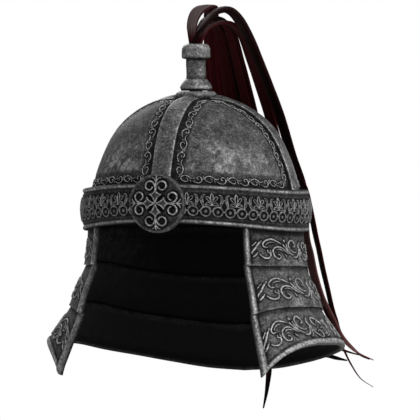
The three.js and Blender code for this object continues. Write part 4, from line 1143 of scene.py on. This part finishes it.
def plume():
    b = Build()
    for number, row in enumerate(LOCKS):
        a = math.radians(row["turn"])
        out = np.array([math.cos(a), math.sin(a), 0])
        side = np.array([-out[1], out[0], 0])
        at = lambda reach, z, drift=0.0: out * reach + side * drift + np.array([0, 0, z])
        root = lambda z: np.array([row["root"][0], row["root"][1], z])
        ax, az = row["apex"]
        pts = [root(152), root(174), at(ax * 0.3, 174 + (az - 174) * 0.62), at(ax * 0.62, az - (az - 174) * 0.08), at(ax, az),
               at(ax + (HANG[0][1] - ax) * 0.52, az - (az - HANG[0][0]) * 0.32)]
        pts += [at(r + row["spread"], z) for z, r in HANG[:row["keep"]]]
        pts += [at(*e) for e in row["ends"]]
        if number == 4:
            pts[2:5] = np.array([(-4.4, 0.8, 196.0), (0.0, 8.0, 209.4), (7.5, 24.0, 213.6)])
            for k, x in ((5, 5.5), (6, 1.5)):
                pts[k] = pts[k] + (x, 0, 0)
        c, f = path_along(pts, 150)
        nrm, wid = frame_of(c, side)
        width = np.interp(f, LOCK_AT, row["wide"])
        thick = np.interp(f, [0, 0.8, 1.0], [3.4, 3.4, 0.9])
        # which way "wid" points, so that the painted shade falls on the near edge of every lock
        turn = np.sign(wid @ side)[:, None]
        low = lambda x, lo, hi: 1 - ease(x, lo, hi)
        fx = f[:, None]

        def tone(_, u, v):
            x = u * turn
            shift = -0.9 * (1 - ease(fx, 0.36, 0.66)) * (number == 0)  # the outer lock shows more red near its top
            # far: the near side is darkened with painted shade, the far side shows the red dye
            far = ease(x - shift, *SHADED[number])
            # rim: a painted red highlight along the far edge
            rim = 0.38 * ease(x, 0.80, 1.0)
            lower = 0.45 * ease(fx, 0.50, 0.58) * (number == 0)
            return (0.24 + 0.36 * far + rim + lower) * (1 - 0.75 * ease(fx, 0.84, 0.97) * (number > 0)) * (1 - 0.25 * (v < 0))

        def top_highlight(_, u, v):
            # painted grey-brown highlight on the top face of the rising arch, and a grey-brown paleness on the outer
            # lock's lower part
            top = ease(fx, 0.07, 0.11) * low(fx, *HIGHLIGHT_TO[number])
            face = np.where(v < 0.2, 1.0, 0.12) * (1 - 0.9 * ease(np.abs(u), 0.72, 0.86))
            last = 0.7 * ease(fx, 0.50, 0.58) * (number == 0)
            return 0.95 * top * face + last

        def sheen(_, u, v):
            return 0.9 * ease(fx, 0.45, 0.60) * (1 - 0.85 * ease(-u * turn, 0.45, 0.8) * low(fx, 0.60, 0.68)) * (number == 0) * ease(v, -0.7, 0.1)

        belly = np.interp(f, LOCK_AT, row["belly"])
        hair_band(b, c, nrm, wid, width, thick, 44, 200 + number, tone, top_highlight, belly, sheen)
        for j, tail in enumerate(row["tails"]):
            reach, z, drift = tail["from"]
            way = [at(reach - 5.5, z + 14, drift), at(*tail["from"])] + [at(*e) for e in tail["way"]]
            cc, g = path_along(way, 80)
            nn, ww = frame_of(cc, side)
            wd = tail["w"] * np.interp(g, [0, 0.15, 0.55, 1], [0.5, 1, 0.85, 0.14])
            hair_band(b, cc, nn, ww, wd, np.clip(wd * tail.get("thick", 0.55), 0.7, 5 * tail.get("thick", 0.55)), 14, 300 + number * 10 + j,
                      lambda _, u, v: tail["tone"] * (0.35 + 0.65 * ease(np.abs(u), 0.5, 0.9)) + 0 * u, lambda _, u, v: tail["highlight_amount"] + 0 * u)
    return b.make("plume_hair", HAIR, "plume")


plume()

# ---------------------------------------------------------------------------
# Camera, light and floor
# ---------------------------------------------------------------------------
scene = bpy.context.scene
AZ, EL, DIST = math.radians(19.8), math.radians(0.8), 8.0
cam_data = bpy.data.cameras.new("camera")
cam = bpy.data.objects.new("camera", cam_data)
scene.collection.objects.link(cam)
cam_data.sensor_width = 36
cam_data.lens = 36 * 8000 / 437.0
right = Vector((math.cos(AZ), math.sin(AZ), 0))
back = Vector((math.sin(AZ) * math.cos(EL), -math.cos(AZ) * math.cos(EL), math.sin(EL)))
target = right * 0.0146 + Vector((0, 0, 0.0017))
cam.location = target + back * DIST
cam.rotation_euler = back.to_track_quat("Z", "Y").to_euler()
cam_data.clip_end = 60
scene.camera = cam

scene.view_settings.view_transform = "Standard"

me = bpy.data.meshes.new("floor")
k = 96
ring = [(3.0 * math.cos(2 * math.pi * i / k), 3.0 * math.sin(2 * math.pi * i / k), -0.42) for i in range(k)]
me.from_pydata(ring, [], [list(range(k))])
floor = bpy.data.objects.new("floor", me)
scene.collection.objects.link(floor)
fmat, fnt, fb = nodes_of("floor")
fb.inputs["Base Color"].default_value = (0.82, 0.82, 0.81, 1)
fb.inputs["Roughness"].default_value = 0.8
me.materials.append(fmat)

world = bpy.data.worlds.new("studio")
scene.world = world
world.use_nodes = True
wn = world.node_tree
for n in list(wn.nodes):
    wn.nodes.remove(n)
wout = wn.nodes.new("ShaderNodeOutputWorld")
lit, seen = wn.nodes.new("ShaderNodeBackground"), wn.nodes.new("ShaderNodeBackground")
lit.inputs[0].default_value = (1, 1, 1, 1)
lit.inputs[1].default_value = 0.31
seen.inputs[0].default_value = (1, 1, 1, 1)
seen.inputs[1].default_value = 1.0
path = wn.nodes.new("ShaderNodeLightPath")
wmix = wn.nodes.new("ShaderNodeMixShader")
wn.links.new(path.outputs["Is Camera Ray"], wmix.inputs[0])
wn.links.new(lit.outputs[0], wmix.inputs[1])
wn.links.new(seen.outputs[0], wmix.inputs[2])
wn.links.new(wmix.outputs[0], wout.inputs[0])


def area(name, where, aim, size, power):
    d = bpy.data.lights.new(name, "AREA")
    d.shape, d.size, d.energy = "DISK", size, power
    o = bpy.data.objects.new(name, d)
    scene.collection.objects.link(o)
    o.location = where
    o.rotation_euler = (Vector(where) - Vector(aim)).to_track_quat("Z", "Y").to_euler()


area("key", tuple(right * 0.9 + back * 1.1 + Vector((0, 0, 1.1))), (0, 0, 0.03), 1.7, 25)
area("side", tuple(right * 1.7 + back * 0.15 + Vector((0, 0, 0.45))), (0, 0, 0), 0.9, 6)
area("fill", tuple(right * -1.3 + back * 0.9 + Vector((0, 0, 0.5))), (0, 0, 0), 1.2, 1.6)
area("top", (0.1, 0.1, 1.6), (0, 0, 0.1), 0.8, 4.5)
area("rear", tuple(right * -0.4 - back * 1.3 + Vector((0, 0, 0.8))), (0, 0, 0.05), 0.8, 7)
